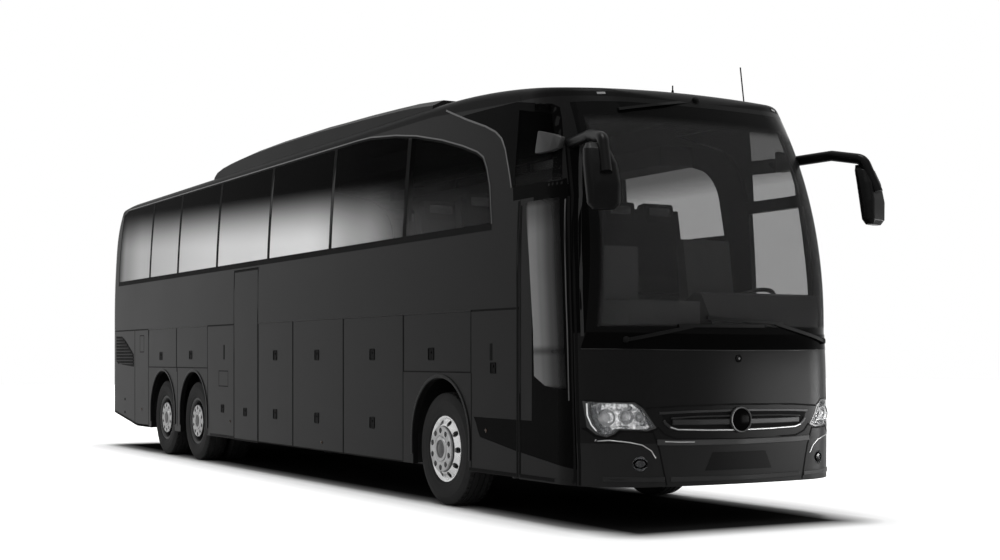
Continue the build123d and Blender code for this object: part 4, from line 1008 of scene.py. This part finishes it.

# Nose mouldings: dark joints where they meet, a raised ledge and apron along
# the bumper, creases over the fog lamps, a plain plate recess and a panel lock.
# The ledge's paler paint, a metal strip on one end of it and metal strips along the creases are painted highlights.
joints = bmesh.new()
ribbon(joints, [(-1.205, 1.004), (-0.925, 0.996), (-0.862, 0.955)], 0.008, "front", step=0.05)
ribbon(joints, [(1.205, 1.004), (0.925, 0.996), (0.862, 0.955)], 0.008, "front", step=0.05)
ribbon(
    joints, [(-0.845, 0.944), (-0.560, 0.960), (0, 0.968), (0.560, 0.960), (0.845, 0.944)], 0.014, "front", step=0.05
)
ribbon(
    joints,
    [(-0.748, 0.800), (-0.690, 0.743), (-0.600, 0.710), (0, 0.694), (0.600, 0.710), (0.690, 0.743), (0.748, 0.800)],
    0.012, "front", step=0.05
)
for side in (-1, 1):
    ribbon(joints, [(side * 0.790, 0.770), (side * 0.735, 0.625), (side * 0.672, 0.350)], 0.012, "front", step=0.05)
    ribbon(joints, [(side * 1.215, 0.790), (side * 1.160, 0.735), (side * 1.098, 0.716), (side * 1.055, 0.738),
                    (side * 1.022, 0.770),
                    (side * 0.790, 0.762)], 0.010, "front", step=0.05)
raise_sheet("nose_joints", joints, 0.0030, rubber)
ledge_highlight_paint = finish("ledge painted highlight", 0.016, 0.024, rough=0.35, specular=0.12, grain=1200, relief=0.01, patch=1.2)
ledge = bmesh.new()
ribbon(
    ledge, [(-0.755, 0.684), (-0.560, 0.677), (0, 0.673), (0.560, 0.677), (0.755, 0.684)], 0.044, "front", step=0.06
)
raise_sheet("nose_ledge", ledge, 0.007, ledge_highlight_paint, bevel=0.0034)
apron = bmesh.new()
ribbon(apron, [(-0.640, 0.396), (0, 0.388), (0.640, 0.396)], 0.040, "front", step=0.03)
for side in (-1, 1):
    ribbon(apron, [(side * 0.690, 0.397), (side * 0.95, 0.400), (side * 1.12, 0.402)], 0.036, "front", step=0.03)
apron_paint = finish("apron paint", 0.014, 0.020, rough=0.35, specular=0.06, grain=1200, relief=0.01, patch=1.2)
raise_sheet("nose_apron_edge", apron, 0.006, apron_paint, bevel=0.0028)
# Painted highlight: a short bright metal strip on one end of the ledge only.
glint = bmesh.new()
ribbon(glint, [(-0.690, 0.688), (-0.560, 0.682), (-0.430, 0.680)], 0.008, "front", step=0.06)
raise_sheet("nose_ledge_painted_glint", glint, 0.0085, highlight_metal, bevel=0.003)
# Painted highlights: bright metal strips along the creases over the fog lamps.
crease_highlights = bmesh.new()
for side in (-1, 1):
    ribbon(crease_highlights, [(side * 1.150, 0.694), (side * 1.080, 0.700), (side * 0.958, 0.684), (side * 0.870, 0.664),
                     (side * 0.800, 0.618),
                     (side * 0.765, 0.560)], 0.008, "front", step=0.04)
raise_sheet("nose_crease_highlights", crease_highlights, 0.005, highlight_metal, bevel=0.0020)
plate = bmesh.new()
patch(plate, [(-0.330, 0.455), (-0.262, 0.596), (0.262, 0.596), (0.330, 0.455)], "front", cell=0.08)
recess_black = finish("plate recess", 0.0030, 0.0042, rough=0.35, specular=0.035, patch=2)
raise_sheet("number_plate_recess", plate, 0.002, recess_black, bevel=0.0008)
place, normal = on_skin(spot(0, 1.327, "front"), "front")
lock = bmesh.new()
on_axis(lock, [(0.030, -0.001), (0.030, 0.005), (0.026, 0.008), (0.020, 0.006), (0.0, 0.006)], place, normal, 28)
make_piece("front_lock", lock, catch_black)
barrel = bmesh.new()
on_axis(barrel, [(0.011, 0.005), (0.010, 0.009), (0.0, 0.0095)], place, normal, 20)
make_piece("front_lock_barrel", barrel, ring_metal)

# Two-tone front corner: gloss black laid over the paint on the windscreen
# pillars, round the door glass and in a wedge that sweeps back to the arch.
pillar_foot = 1.526
pillar_head = 3.050
pillar_side = 0.60
dress(
    "front_frame", paint,
    cuts=[
        ((0, 0, pillar_foot), (0, 0, 1)), ((0, 0, pillar_head), (0, 0, 1)), ((0, pillar_side, 0), (0, 1, 0)),
        ((0, -pillar_side, 0), (0, 1, 0))
    ],
    other=gloss_black, belongs=lambda place: pillar_foot < place.z < pillar_head and abs(place.y) > pillar_side,
)
door_rear_x = front_axle + 1.42
stile_x = front_axle + 1.631
wedge_top = 0.824
skirt_at_door = 0.562
skirt_slope = 0.114


def above_skirt(place):
    """Whether a place on the door is above the raked line of its skirt."""
    return place.z + skirt_slope * (place.x - door_rear_x) > skirt_at_door


dress(
    "front_door", paint, "front_door",
    cuts=[
        ((stile_x, 0, 0), (1, 0, 0)), ((0, 0, wedge_top), (0, 0, 1)),
        ((door_rear_x, 0, skirt_at_door), (skirt_slope, 0, 1))
    ],
    other=gloss_black, belongs=lambda place: above_skirt(place) and (place.x > stile_x or place.z < wedge_top),
)
wedge_tail = [(0.640, wedge_top), (0.684, 0.770), (0.715, 0.710), (0.756, 0.654), (1.414, 0.561)]
for side_name, nose_end in (("right", [(1.414, wedge_top)]), ("left", [(2.245, 0.466), (2.245, wedge_top)])):
    wedge = bmesh.new()
    patch(wedge, wedge_tail + nose_end, side_name)
    raise_sheet("wedge_" + side_name, wedge, 0.0008, gloss_black)
band = bmesh.new()
patch(band, [(1.285, 2.745), (1.300, 2.632), (2.085, 2.632), (2.055, 2.745)], "right", cell=0.05)
raise_sheet("door_head_band", band, 0.0012, gloss_black)

# Door surround: broad rubber lips that meet along both edges of the front
# door, a pale bead up the front edge of its glass, and a slightly paler
# edge down each windscreen pillar; the bead and the edges are painted highlights.
edge_highlight_paint = finish("pillar edge painted highlight", 0.012, 0.018, rough=0.35, specular=0.12, grain=1200, relief=0.01, patch=2)
door_bead_highlight = finish("door bead painted highlight", 0.030, 0.045, rough=0.3, specular=0.3, patch=2)
door_front_run = [(2.232, 0.365), (2.232, 0.60), (2.204, 1.33), (2.168, 2.0), (2.098, 2.60)]
cab_front_run = [
    (2.270, 0.345), (2.270, 0.52), (2.236, 1.33), (2.200, 2.0), (2.124, 2.60), (2.072, 2.79), (1.985, 3.06)
]
lips = bmesh.new()
ribbon(lips, [(1.396, 0.372), (1.396, 2.62)], 0.024, "right")
ribbon(lips, [(x + 0.006, z) for x, z in cab_front_run], 0.022, "right", step=0.06)
raise_sheet("door_rubber_body", lips, 0.003, rubber, bevel=0.001)
lips = bmesh.new()
ribbon(lips, [(1.440, 0.372), (1.440, 2.58)], 0.026, "right")
ribbon(lips, door_front_run, 0.024, "right", step=0.06)
ribbon(lips, [(1.440, 0.368), (2.225, 0.368)], 0.030, "right")
raise_sheet("door_rubber_leaf", lips, 0.003, rubber, "front_door", bevel=0.001)
lips = bmesh.new()
ribbon(lips, cab_front_run, 0.012, "left", step=0.06)
raise_sheet("cab_joint_left", lips, 0.0015, rubber)
bead = bmesh.new()
ribbon(bead, [(2.174, 1.00), (2.160, 1.33), (2.122, 2.0), (2.068, 2.58)], 0.012, "right", step=0.06)
raise_sheet("door_glass_bead", bead, 0.004, door_bead_highlight, "front_door", bevel=0.0015)
for side_name in sides:
    corner = bmesh.new()
    ribbon(corner, [(2.286, 1.50), (2.263, 2.0), (2.192, 2.6), (2.102, 3.02)], 0.026, side_name, step=0.06)
    raise_sheet("pillar_edge_" + side_name, corner, 0.0020, edge_highlight_paint, bevel=0.0008)

# Quarter light covers: black moulded covers that frame the high panes over
# the cab on each side, and split the driver's side into three lights.
for side_name in sides:
    crown = bmesh.new()
    patch(crown, [(0.215, 3.480), (0.930, 3.262), (1.040, 3.194), (1.120, 3.097), (1.185, 2.945), (1.225, 2.852),
                  (1.252, 2.750), (1.315, 2.750), (1.310, 3.452), (1.250, 3.462),
                  (0.700, 3.474)], side_name, cell=0.08)
    patch(
        crown, [(1.310, 3.385), (1.310, 3.452), (1.765, 3.376), (1.850, 3.335), (1.845, 3.285)], side_name, cell=0.08
    )
    raise_sheet("crown_cover_" + side_name, crown, 0.0012, gloss_black)
split = bmesh.new()
ribbon(split, [(1.310, 3.055), (1.890, 3.030)], 0.125, "left", step=0.06)
raise_sheet("quarter_bar_left", split, 0.0014, gloss_black)
for side_name in sides:
    quarter = bmesh.new()
    patch(quarter, [(1.900, 2.745), (2.012, 2.745), (1.976, 2.93), (1.936, 3.118), (1.890, 3.245), (1.845, 3.335),
                    (1.765, 3.372), (1.780, 3.300),
                    (1.880, 3.060)], side_name, cell=0.06)
    raise_sheet("quarter_cover_" + side_name, quarter, 0.0012, gloss_black)

# Service fittings on the fixed side panels: vent slots, filler flap, a small
# marker lamp and the door's outside button.
fittings = bmesh.new()
for view in ("right", "left"):
    for x, low, high in ((0.951, 1.310, 1.455), (-5.870, 1.315, 1.495)):
        ribbon(fittings, [(x, low), (x, high)], 0.045, view)
raise_sheet("vent_slots", fittings, 0.002, rubber, bevel=0.0008)
fillers = bmesh.new()
for view in ("right", "left"):
    for outline in ([(-6.065, 0.985), (-5.725, 0.985), (-5.725, 1.172), (-6.065, 1.172)],
                    [(-9.535, 1.420), (-9.335, 1.420), (-9.335, 1.655), (-9.535, 1.655)]):
        ribbon(fillers, outline, 0.012, view, closed=True)
raise_sheet("filler_joints", fillers, 0.0010, rubber)
button = bmesh.new()
for view in ("right", "left"):
    catch(button, 0.986, 1.247, view, 0.048)
    for x, z in ((-10.325, 0.722), (-10.325, 0.529)):
        place, normal = on_skin(spot(x, z, view), view)
        on_axis(button, [(0.018, -0.001), (0.018, 0.004), (0.014, 0.006), (0.0, 0.006)], place, normal, 20)
make_piece("side_buttons", button, catch_black)
marker_amber = clear_lens("smoked amber lens", (0.050, 0.030, 0.018), 0.9)
markers = bmesh.new()
for view in ("right", "left"):
    for x, z in ((0.863, 0.712), (-2.75, 0.44), (-5.65, 0.56), (-9.45, 0.60)):
        place, normal = on_skin(spot(x, z, view), view)
        on_axis(markers, [(0.016, -0.001), (0.016, 0.005), (0.012, 0.008), (0.0, 0.009)], place, normal, 20)
make_piece("side_markers", markers, marker_amber)

# Scuttle: a gloss black moulded band under the windscreen, clipped over the
# wiper spindles' wells, with a thin paler sill line along its foot, a painted highlight.
scuttle = bmesh.new()
patch(scuttle, [(-1.215, 1.408), (-1.190, 1.530), (-0.6, 1.520), (0, 1.516), (0.6, 1.520), (1.190, 1.530),
                (1.215, 1.408), (0.6, 1.398), (0, 1.395),
                (-0.6, 1.398)], "front", cell=0.04)
raise_sheet("scuttle_band", scuttle, 0.0035, gloss_black)
sill = bmesh.new()
ribbon(sill, [(-1.215, 1.402), (-0.6, 1.393), (0, 1.390), (0.6, 1.393), (1.215, 1.402)], 0.006, "front", step=0.06)
raise_sheet("scuttle_line", sill, 0.0045, edge_highlight_paint, bevel=0.0012)

# Mirrors: moulded black heads on hooked arms, a plain glass let into the rear
# face of each, and a broad foot where the arm leaves the roof pillar.
mirror_black = finish(
    "mirror shell black", 0.0020, 0.0035, rough=0.30, specular=0.05, grain=700, relief=0.02, patch=3
)
foot_grey = finish("mirror foot grey", 0.018, 0.026, rough=0.4, specular=0.15, grain=700, relief=0.02, patch=3)
mirror_glass = finish("mirror glass", 0.55, 0.72, rough=0.03, metal=1.0, grain=100, relief=0.0, patch=4)
dress("mirrors", mirror_black, crease=40)
head_top = Vector((front_axle + 2.700, 1.330, 2.875))
head_foot = Vector((front_axle + 2.775, 1.330, 2.455))
heads_mesh = frame["nodes"]["mirrors"].data
head_tree = BVHTree.FromPolygons(
    [vert.co for vert in heads_mesh.vertices], [list(polygon.vertices) for polygon in heads_mesh.polygons]
)
for side_name, side in sides.items():
    up = (head_top - head_foot).normalized()
    back = Vector((-cos(radians(20)), -sin(radians(20)), 0))
    across = up.cross(back).normalized()
    face = bmesh.new()
    for level, width, length in (
        (0.02, 0.088, 0), (0.07, 0.108, 0), (0.16, 0.115, 0), (0.30, 0.110, 0), (0.385, 0.092, 0), (0.415, 0.066, 0)
    ):
        centre = head_foot + up * level
        for way in (-1, 1):
            face.verts.new(centre + across * way * width)
    hull = bmesh.ops.convex_hull(face, input=face.verts)
    spare = [item for item in hull["geom_interior"] + hull["geom_unused"] if isinstance(item, bmesh.types.BMVert)]
    bmesh.ops.delete(face, geom=spare, context="VERTS")
    for vert in face.verts:
        centre = vert.co.copy()
        hit, normal, index, distance = head_tree.ray_cast(centre + back * 0.6, -back)
        vert.co = hit + back * 0.0015 if hit is not None else centre + back * 0.05
    if side < 0:
        face.transform(Matrix.Scale(-1, 4, Vector((0, 1, 0))))
    bmesh.ops.recalc_face_normals(face, faces=face.faces)
    make_piece("mirror_glass_" + side_name, face, mirror_glass, smooth=20)
    foot = bmesh.new()
    for x, low, high, out in (
        (1.665, 2.985, 3.155, 0.020), (1.700, 2.975, 3.160, 0.050), (1.900, 2.975, 3.110, 0.062),
        (1.965, 2.995, 3.080, 0.050)
    ):
        for z in (low, high):
            place, normal = on_skin(spot(x, z, side_name), side_name)
            for reach in (-0.020, out if z == low else out * 0.7):
                foot.verts.new((place.x, place.y + side * reach, z))
    bmesh.ops.convex_hull(foot, input=foot.verts)
    bmesh.ops.bevel(foot, geom=foot.edges[:], offset=0.006, segments=2, profile=0.5, affect="EDGES", material=-1)
    bmesh.ops.recalc_face_normals(foot, faces=foot.faces)
    make_piece("mirror_foot_" + side_name, foot, foot_grey, smooth=50)

# Wipers: pressed arms on two spindles, each holding a long blade flat on the
# glass, and a short blade hanging at the top.
wiper_black = finish("wiper black", 0.0020, 0.0035, rough=0.5, specular=0.05, grain=900, relief=0.03, patch=10)
dress("wipers", wiper_black)
caps = bmesh.new()
for y, z, radius in ((-0.970, 1.472, 0.026), (0.990, 1.472, 0.026), (-0.03, 3.435, 0.030)):
    place, normal = on_skin(spot(y, z, "front"), "front")
    on_axis(
        caps, [(radius, 0.0), (radius, 0.022), (radius * 0.8, 0.030), (radius * 0.4, 0.033), (0.0, 0.034)], place,
        normal, 24
    )
make_piece("wiper_spindles", caps, wiper_black)

# Antennas: a stub and a long raked whip, sprung steel in a black sleeve, each
# screwed to a moulded rubber foot on the roof.
dress("antennas", wiper_black, crease=60)
feet = bmesh.new()
for x, y, lean in ((1.52, 0.20, 0), (1.50, 1.00, 9)):
    place, normal = on_skin(spot(x, y, "top"), "top")
    axis = Vector((-sin(radians(lean)), 0, cos(radians(lean))))
    on_axis(
        feet,
        [
            (0.030, -0.010), (0.029, 0.004), (0.020, 0.012), (0.012, 0.030), (0.009, 0.052), (0.007, 0.054),
            (0.0, 0.054)
        ], place, axis, 24
    )
make_piece("antenna_feet", feet, rubber)

# Cab: moulded grey dashboard with an instrument hump and a thin top pad, a
# rubber-rimmed steering wheel, and light grey plush on the crew's seats.
dash_grey = finish("dash moulding", 0.018, 0.028, rough=0.6, specular=0.2, grain=900, relief=0.08, patch=6)
dress("dashboard", dash_grey)
wheel_rubber = finish("wheel rim rubber", 0.006, 0.010, rough=0.45, specular=0.25, grain=900, relief=0.05, patch=20)
dress("steering_wheel", wheel_rubber, "steering_wheel", crease=40)
plush = finish("dark plush", 0.012, 0.022, rough=0.95, specular=0.05, grain=420, relief=0.35, patch=24)
crew_plush = finish("grey plush", 0.085, 0.12, rough=0.95, specular=0.05, grain=420, relief=0.35, patch=24)
seats = dress("seats", plush, crease=50)
seats.data.materials.append(crew_plush)
for face in seats.data.polygons:
    face.material_index = 1 if face.center.x > front_axle + 1.1 else 0

# Headrests and covers: each double seat is parted down the middle, with two
# padded heads and a pale antimacassar band.
band_cloth = finish("headrest cloth", 0.10, 0.16, rough=0.95, specular=0.05, grain=700, relief=0.3, patch=30)
heads = bmesh.new()
bands = bmesh.new()
row_pitch = 0.82
row_count = 13
mid_door_rows = (-5.73, -4.12)
for side in (-1, 1):
    for row in range(row_count):
        x = 0.620 - row * row_pitch
        if side < 0 and mid_door_rows[0] < x < mid_door_rows[1]:
            continue
        for half in (-0.225, 0.225):
            for shape, size, dx, z in (
                (heads, (0.125, 0.36, 0.22), -0.440, 2.700), (bands, (0.135, 0.26, 0.10), -0.440, 2.725)
            ):
                made = bmesh.new()
                bmesh.ops.create_cube(made, size=1.0)
                bmesh.ops.scale(made, vec=size, verts=made.verts)
                bmesh.ops.bevel(
                    made, geom=made.edges[:], offset=0.03, segments=3, profile=0.5, affect="EDGES", material=-1
                )
                seat_head = Matrix.Translation((front_axle + x + dx, side * 0.74 + half, z))
                made.transform(seat_head @ Matrix.Rotation(radians(-8), 4, "Y"))
                pour(made, shape)
make_piece("seat_heads", heads, plush, smooth=50)
make_piece("seat_head_bands", bands, band_cloth, smooth=50)

# Cabin lining: carpeted luggage racks, a ribbed vinyl floor glued over ply,
# and painted steel arms that carry the doors.
carpet = finish("rack carpet", 0.035, 0.05, rough=0.95, specular=0.03, grain=500, relief=0.3, patch=12)
floor_vinyl = finish("floor vinyl", 0.02, 0.035, rough=0.7, specular=0.2, grain=260, relief=0.25, patch=5)
arm_steel = finish("painted arm steel", 0.05, 0.07, rough=0.4, metal=0.3, grain=500, relief=0.04, patch=8)
dress("luggage_racks", carpet)
dress("floor", floor_vinyl)
dress("front_door_arm", arm_steel, "front_door_arm")
dress("mid_door_arm", arm_steel, "mid_door_arm")

# Roof unit: the cooler's long moulded cover over the middle of the roof, with
# two rows of fan grilles, screwed down along its edge.
roof_shell = finish("roof cover", 0.0075, 0.0105, rough=0.5, specular=0.06, grain=900, relief=0.05, patch=1.2)
dress("roof_unit", roof_shell, crease=24)
roof_fans = bmesh.new()
fan_cups = bmesh.new()
fan_places = [(-2.9 - 0.85 * step, side * 0.46) for step in range(3) for side in (-1, 1)]
roof_mesh = bmesh.new()
for node in ("roof", "roof_unit"):
    roof_mesh.from_mesh(frame["nodes"][node].data)
roof_tree = BVHTree.FromBMesh(roof_mesh)
roof_mesh.free()
for u, v in fan_places:
    hit, normal, face, distance = roof_tree.ray_cast(Vector((front_axle + u, v, 9)), Vector((0, 0, -1)))
    on_axis(
        fan_cups, [(0.255, -0.004), (0.255, 0.012), (0.245, 0.018), (0.232, 0.012), (0.228, 0.002)], hit, normal, 40
    )
    on_axis(fan_cups, [(0.060, 0.0), (0.060, 0.014), (0.045, 0.018), (0.0, 0.019)], hit, normal, 24)
    for radius in (0.085, 0.115, 0.145, 0.175, 0.205):
        hoop_profile = [
            (radius + out, rise)
            for out, rise in ((-0.003, 0.006), (0, 0.010), (0.003, 0.006), (0, 0.003), (-0.003, 0.006))
        ]
        on_axis(roof_fans, hoop_profile, hit, normal, 36)
    on_axis(roof_fans, [(0.228, 0.0015), (0.0, 0.002)], hit, normal, 32)
make_piece("fan_rims", fan_cups, roof_shell)
make_piece("fan_guards", roof_fans, rubber)

# Roof hatches: two shallow moulded lids with rounded corners, which lift and
# slide by hand for air and serve as ways out.
hatch_corner = 0.09
hatches = bmesh.new()
for x in (-8.55, 0.55):
    place, normal = on_skin(spot(x, 0, "top"), "top")
    made = bmesh.new()
    for length, width, height in (
        (0.34, 0.27, -0.013), (0.34, 0.27, 0.030), (0.325, 0.255, 0.044), (0.25, 0.18, 0.048)
    ):
        for quarter, (way_x, way_y) in enumerate(((1, 1), (-1, 1), (-1, -1), (1, -1))):
            for turn in range(0, 91, 18):
                angle = radians(90 * quarter + turn)
                made.verts.new((
                    way_x * length + hatch_corner * cos(angle), way_y * width + hatch_corner * sin(angle), height,
                ))
    bmesh.ops.convex_hull(made, input=made.verts)
    made.transform(Matrix.Translation(place + normal * 0.012) @ normal.to_track_quat("Z", "Y").to_matrix().to_4x4())
    pour(made, hatches)
make_piece("roof_hatches", hatches, roof_shell, smooth=40)

# Underbody: waxed steel rails, galvanised bay floors, black housings, and
# painted axles and engine.
chassis_black = finish("chassis wax", 0.007, 0.014, rough=0.65, specular=0.2, grain=500, relief=0.15, patch=7)
galvanised = finish("galvanised sheet", 0.13, 0.22, rough=0.45, metal=0.8, grain=60, relief=0.03, patch=18)
cast_grey = finish("cast iron paint", 0.03, 0.06, rough=0.6, metal=0.3, grain=400, relief=0.15, patch=9)
for node, material in (
    ("wheel_housings", chassis_black), ("underframe", chassis_black), ("luggage_bays", galvanised),
    ("engine_block", cast_grey), ("front_axle", chassis_black), ("drive_axle", cast_grey),
    ("tag_axle", chassis_black),
):
    dress(node, material, crease=40)
for side_name in sides:
    dress("knuckle_" + side_name, cast_grey, "knuckle_" + side_name, crease=40)

# Tail: each lamp is split into four chambers by black ribs, with a clear
# reversing lamp, and the engine lid is louvred below its hinge.
ribs = bmesh.new()
for side in (-1, 1):
    ribbon(
        ribs, [(side * 0.872, 1.002), (side * 1.118, 1.002), (side * 1.118, 1.558), (side * 0.872, 1.558)], 0.012,
        "rear", closed=True
    )
    for z in (1.13, 1.27, 1.42):
        ribbon(ribs, [(side * 0.875, z), (side * 1.115, z)], 0.010, "rear", step=0.05)
raise_sheet("tail_lamp_ribs", ribs, 0.003, lamp_dark, bevel=0.001)
reversing = bmesh.new()
for side in (-1, 1):
    patch(
        reversing, [(side * 0.885, 1.14), (side * 1.105, 1.14), (side * 1.105, 1.26), (side * 0.885, 1.26)], "rear",
        cell=0.05
    )
raise_sheet("reversing_lenses", reversing, 0.0018, lens_clear)
tail_bulbs = bmesh.new()
for side in (-1, 1):
    for z in (1.066, 1.345, 1.490):
        place, normal = on_skin(spot(side * 0.995, z, "rear"), "rear")
        on_axis(tail_bulbs, [(0.048, -0.001), (0.046, 0.003), (0.036, 0.005), (0.0, 0.006)], place, normal, 32)
bullseye_red = clear_lens("tail bullseye", (0.20, 0.004, 0.004), 0.95)
make_piece("tail_lamp_rings", tail_bulbs, bullseye_red)
louvres = bmesh.new()
for index in range(9):
    z = 1.20 + index * 0.045
    for low, high in ((-0.70, -0.05), (0.05, 0.70)):
        ribbon(louvres, [(low, z), (high, z)], 0.026, "rear", step=0.1)
raise_sheet("lid_louvres", louvres, 0.008, slat_paint, "engine_lid", bevel=0.0035)
backing = bmesh.new()
for low, high in ((-0.72, -0.03), (0.03, 0.72)):
    patch(backing, [(low, 1.175), (high, 1.175), (high, 1.59), (low, 1.59)], "rear")
raise_sheet("lid_louvre_backing", backing, 0.001, rubber, "engine_lid")
lid_parts = bmesh.new()
for y in (-0.62, 0.62):
    catch(lid_parts, y, 0.75, "rear", 0.036)
make_piece("lid_catches", lid_parts, catch_black, "engine_lid", 30)
rear_plate = bmesh.new()
patch(rear_plate, [(-0.30, 0.86), (0.30, 0.86), (0.30, 1.06), (-0.30, 1.06)], "rear")
raise_sheet("rear_plate_panel", rear_plate, 0.002, slat_paint, "engine_lid", bevel=0.0008)
plate_lamps = bmesh.new()
ribbon(plate_lamps, [(-0.16, 1.085), (0.16, 1.085)], 0.022, "rear", step=0.1)
raise_sheet("plate_lamp", plate_lamps, 0.014, lamp_dark, "engine_lid", bevel=0.004)
tail_joints = bmesh.new()
for side in (-1, 1):
    ribbon(tail_joints, [(side * 0.81, 0.60), (side * 1.20, 0.60)], 0.008, "rear", step=0.05)
    ribbon(tail_joints, [(side * 0.83, 1.75), (side * 1.20, 1.75)], 0.006, "rear", step=0.05)
ribbon(
    tail_joints, [(-0.87, 2.455), (0.87, 2.455), (0.812, 3.355), (-0.812, 3.355)], 0.020, "rear", closed=True,
    step=0.08
)
raise_sheet("tail_joints", tail_joints, 0.0015, rubber)
brake_lamp = bmesh.new()
ribbon(brake_lamp, [(-0.26, 3.405), (0.26, 3.405)], 0.032, "rear", step=0.06)
raise_sheet("high_brake_lamp", brake_lamp, 0.010, lens_red, bevel=0.004)
end_markers = bmesh.new()
for side in (-1, 1):
    place, normal = on_skin(spot(side * 0.98, 3.36, "rear"), "rear")
    on_axis(end_markers, [(0.024, -0.001), (0.024, 0.008), (0.018, 0.013), (0.0, 0.015)], place, normal, 24)
make_piece("rear_end_markers", end_markers, lens_red)

# Brow: two small clear marker lamps let into the roof's front edge, and the
# joint where the roof meets the front cap.
brow_slots = bmesh.new()
brow_lenses = bmesh.new()
for side in (-1, 1):
    ribbon(brow_slots, [(side * 0.930, 3.444), (side * 0.820, 3.447)], 0.036, "front", step=0.04)
    ribbon(brow_lenses, [(side * 0.905, 3.444), (side * 0.845, 3.446)], 0.018, "front", step=0.04)
raise_sheet("brow_lamp_cups", brow_slots, 0.002, rubber, bevel=0.0008)
brow_lens = finish("brow lamp lens", 0.16, 0.22, rough=0.2, specular=0.3, patch=30)
raise_sheet("brow_lamp_lenses", brow_lenses, 0.0035, brow_lens, bevel=0.0012)
cap_joint = bmesh.new()
for view in ("right", "left"):
    ribbon(cap_joint, [(1.335, 3.440), (1.262, 3.545)], 0.007, view, step=0.04)
ribbon(cap_joint, [(1.255, -1.12), (1.225, -0.9), (1.22, 0), (1.225, 0.9), (1.255, 1.12)], 0.007, "top", step=0.2)
raise_sheet("cap_joint", cap_joint, 0.001, rubber)
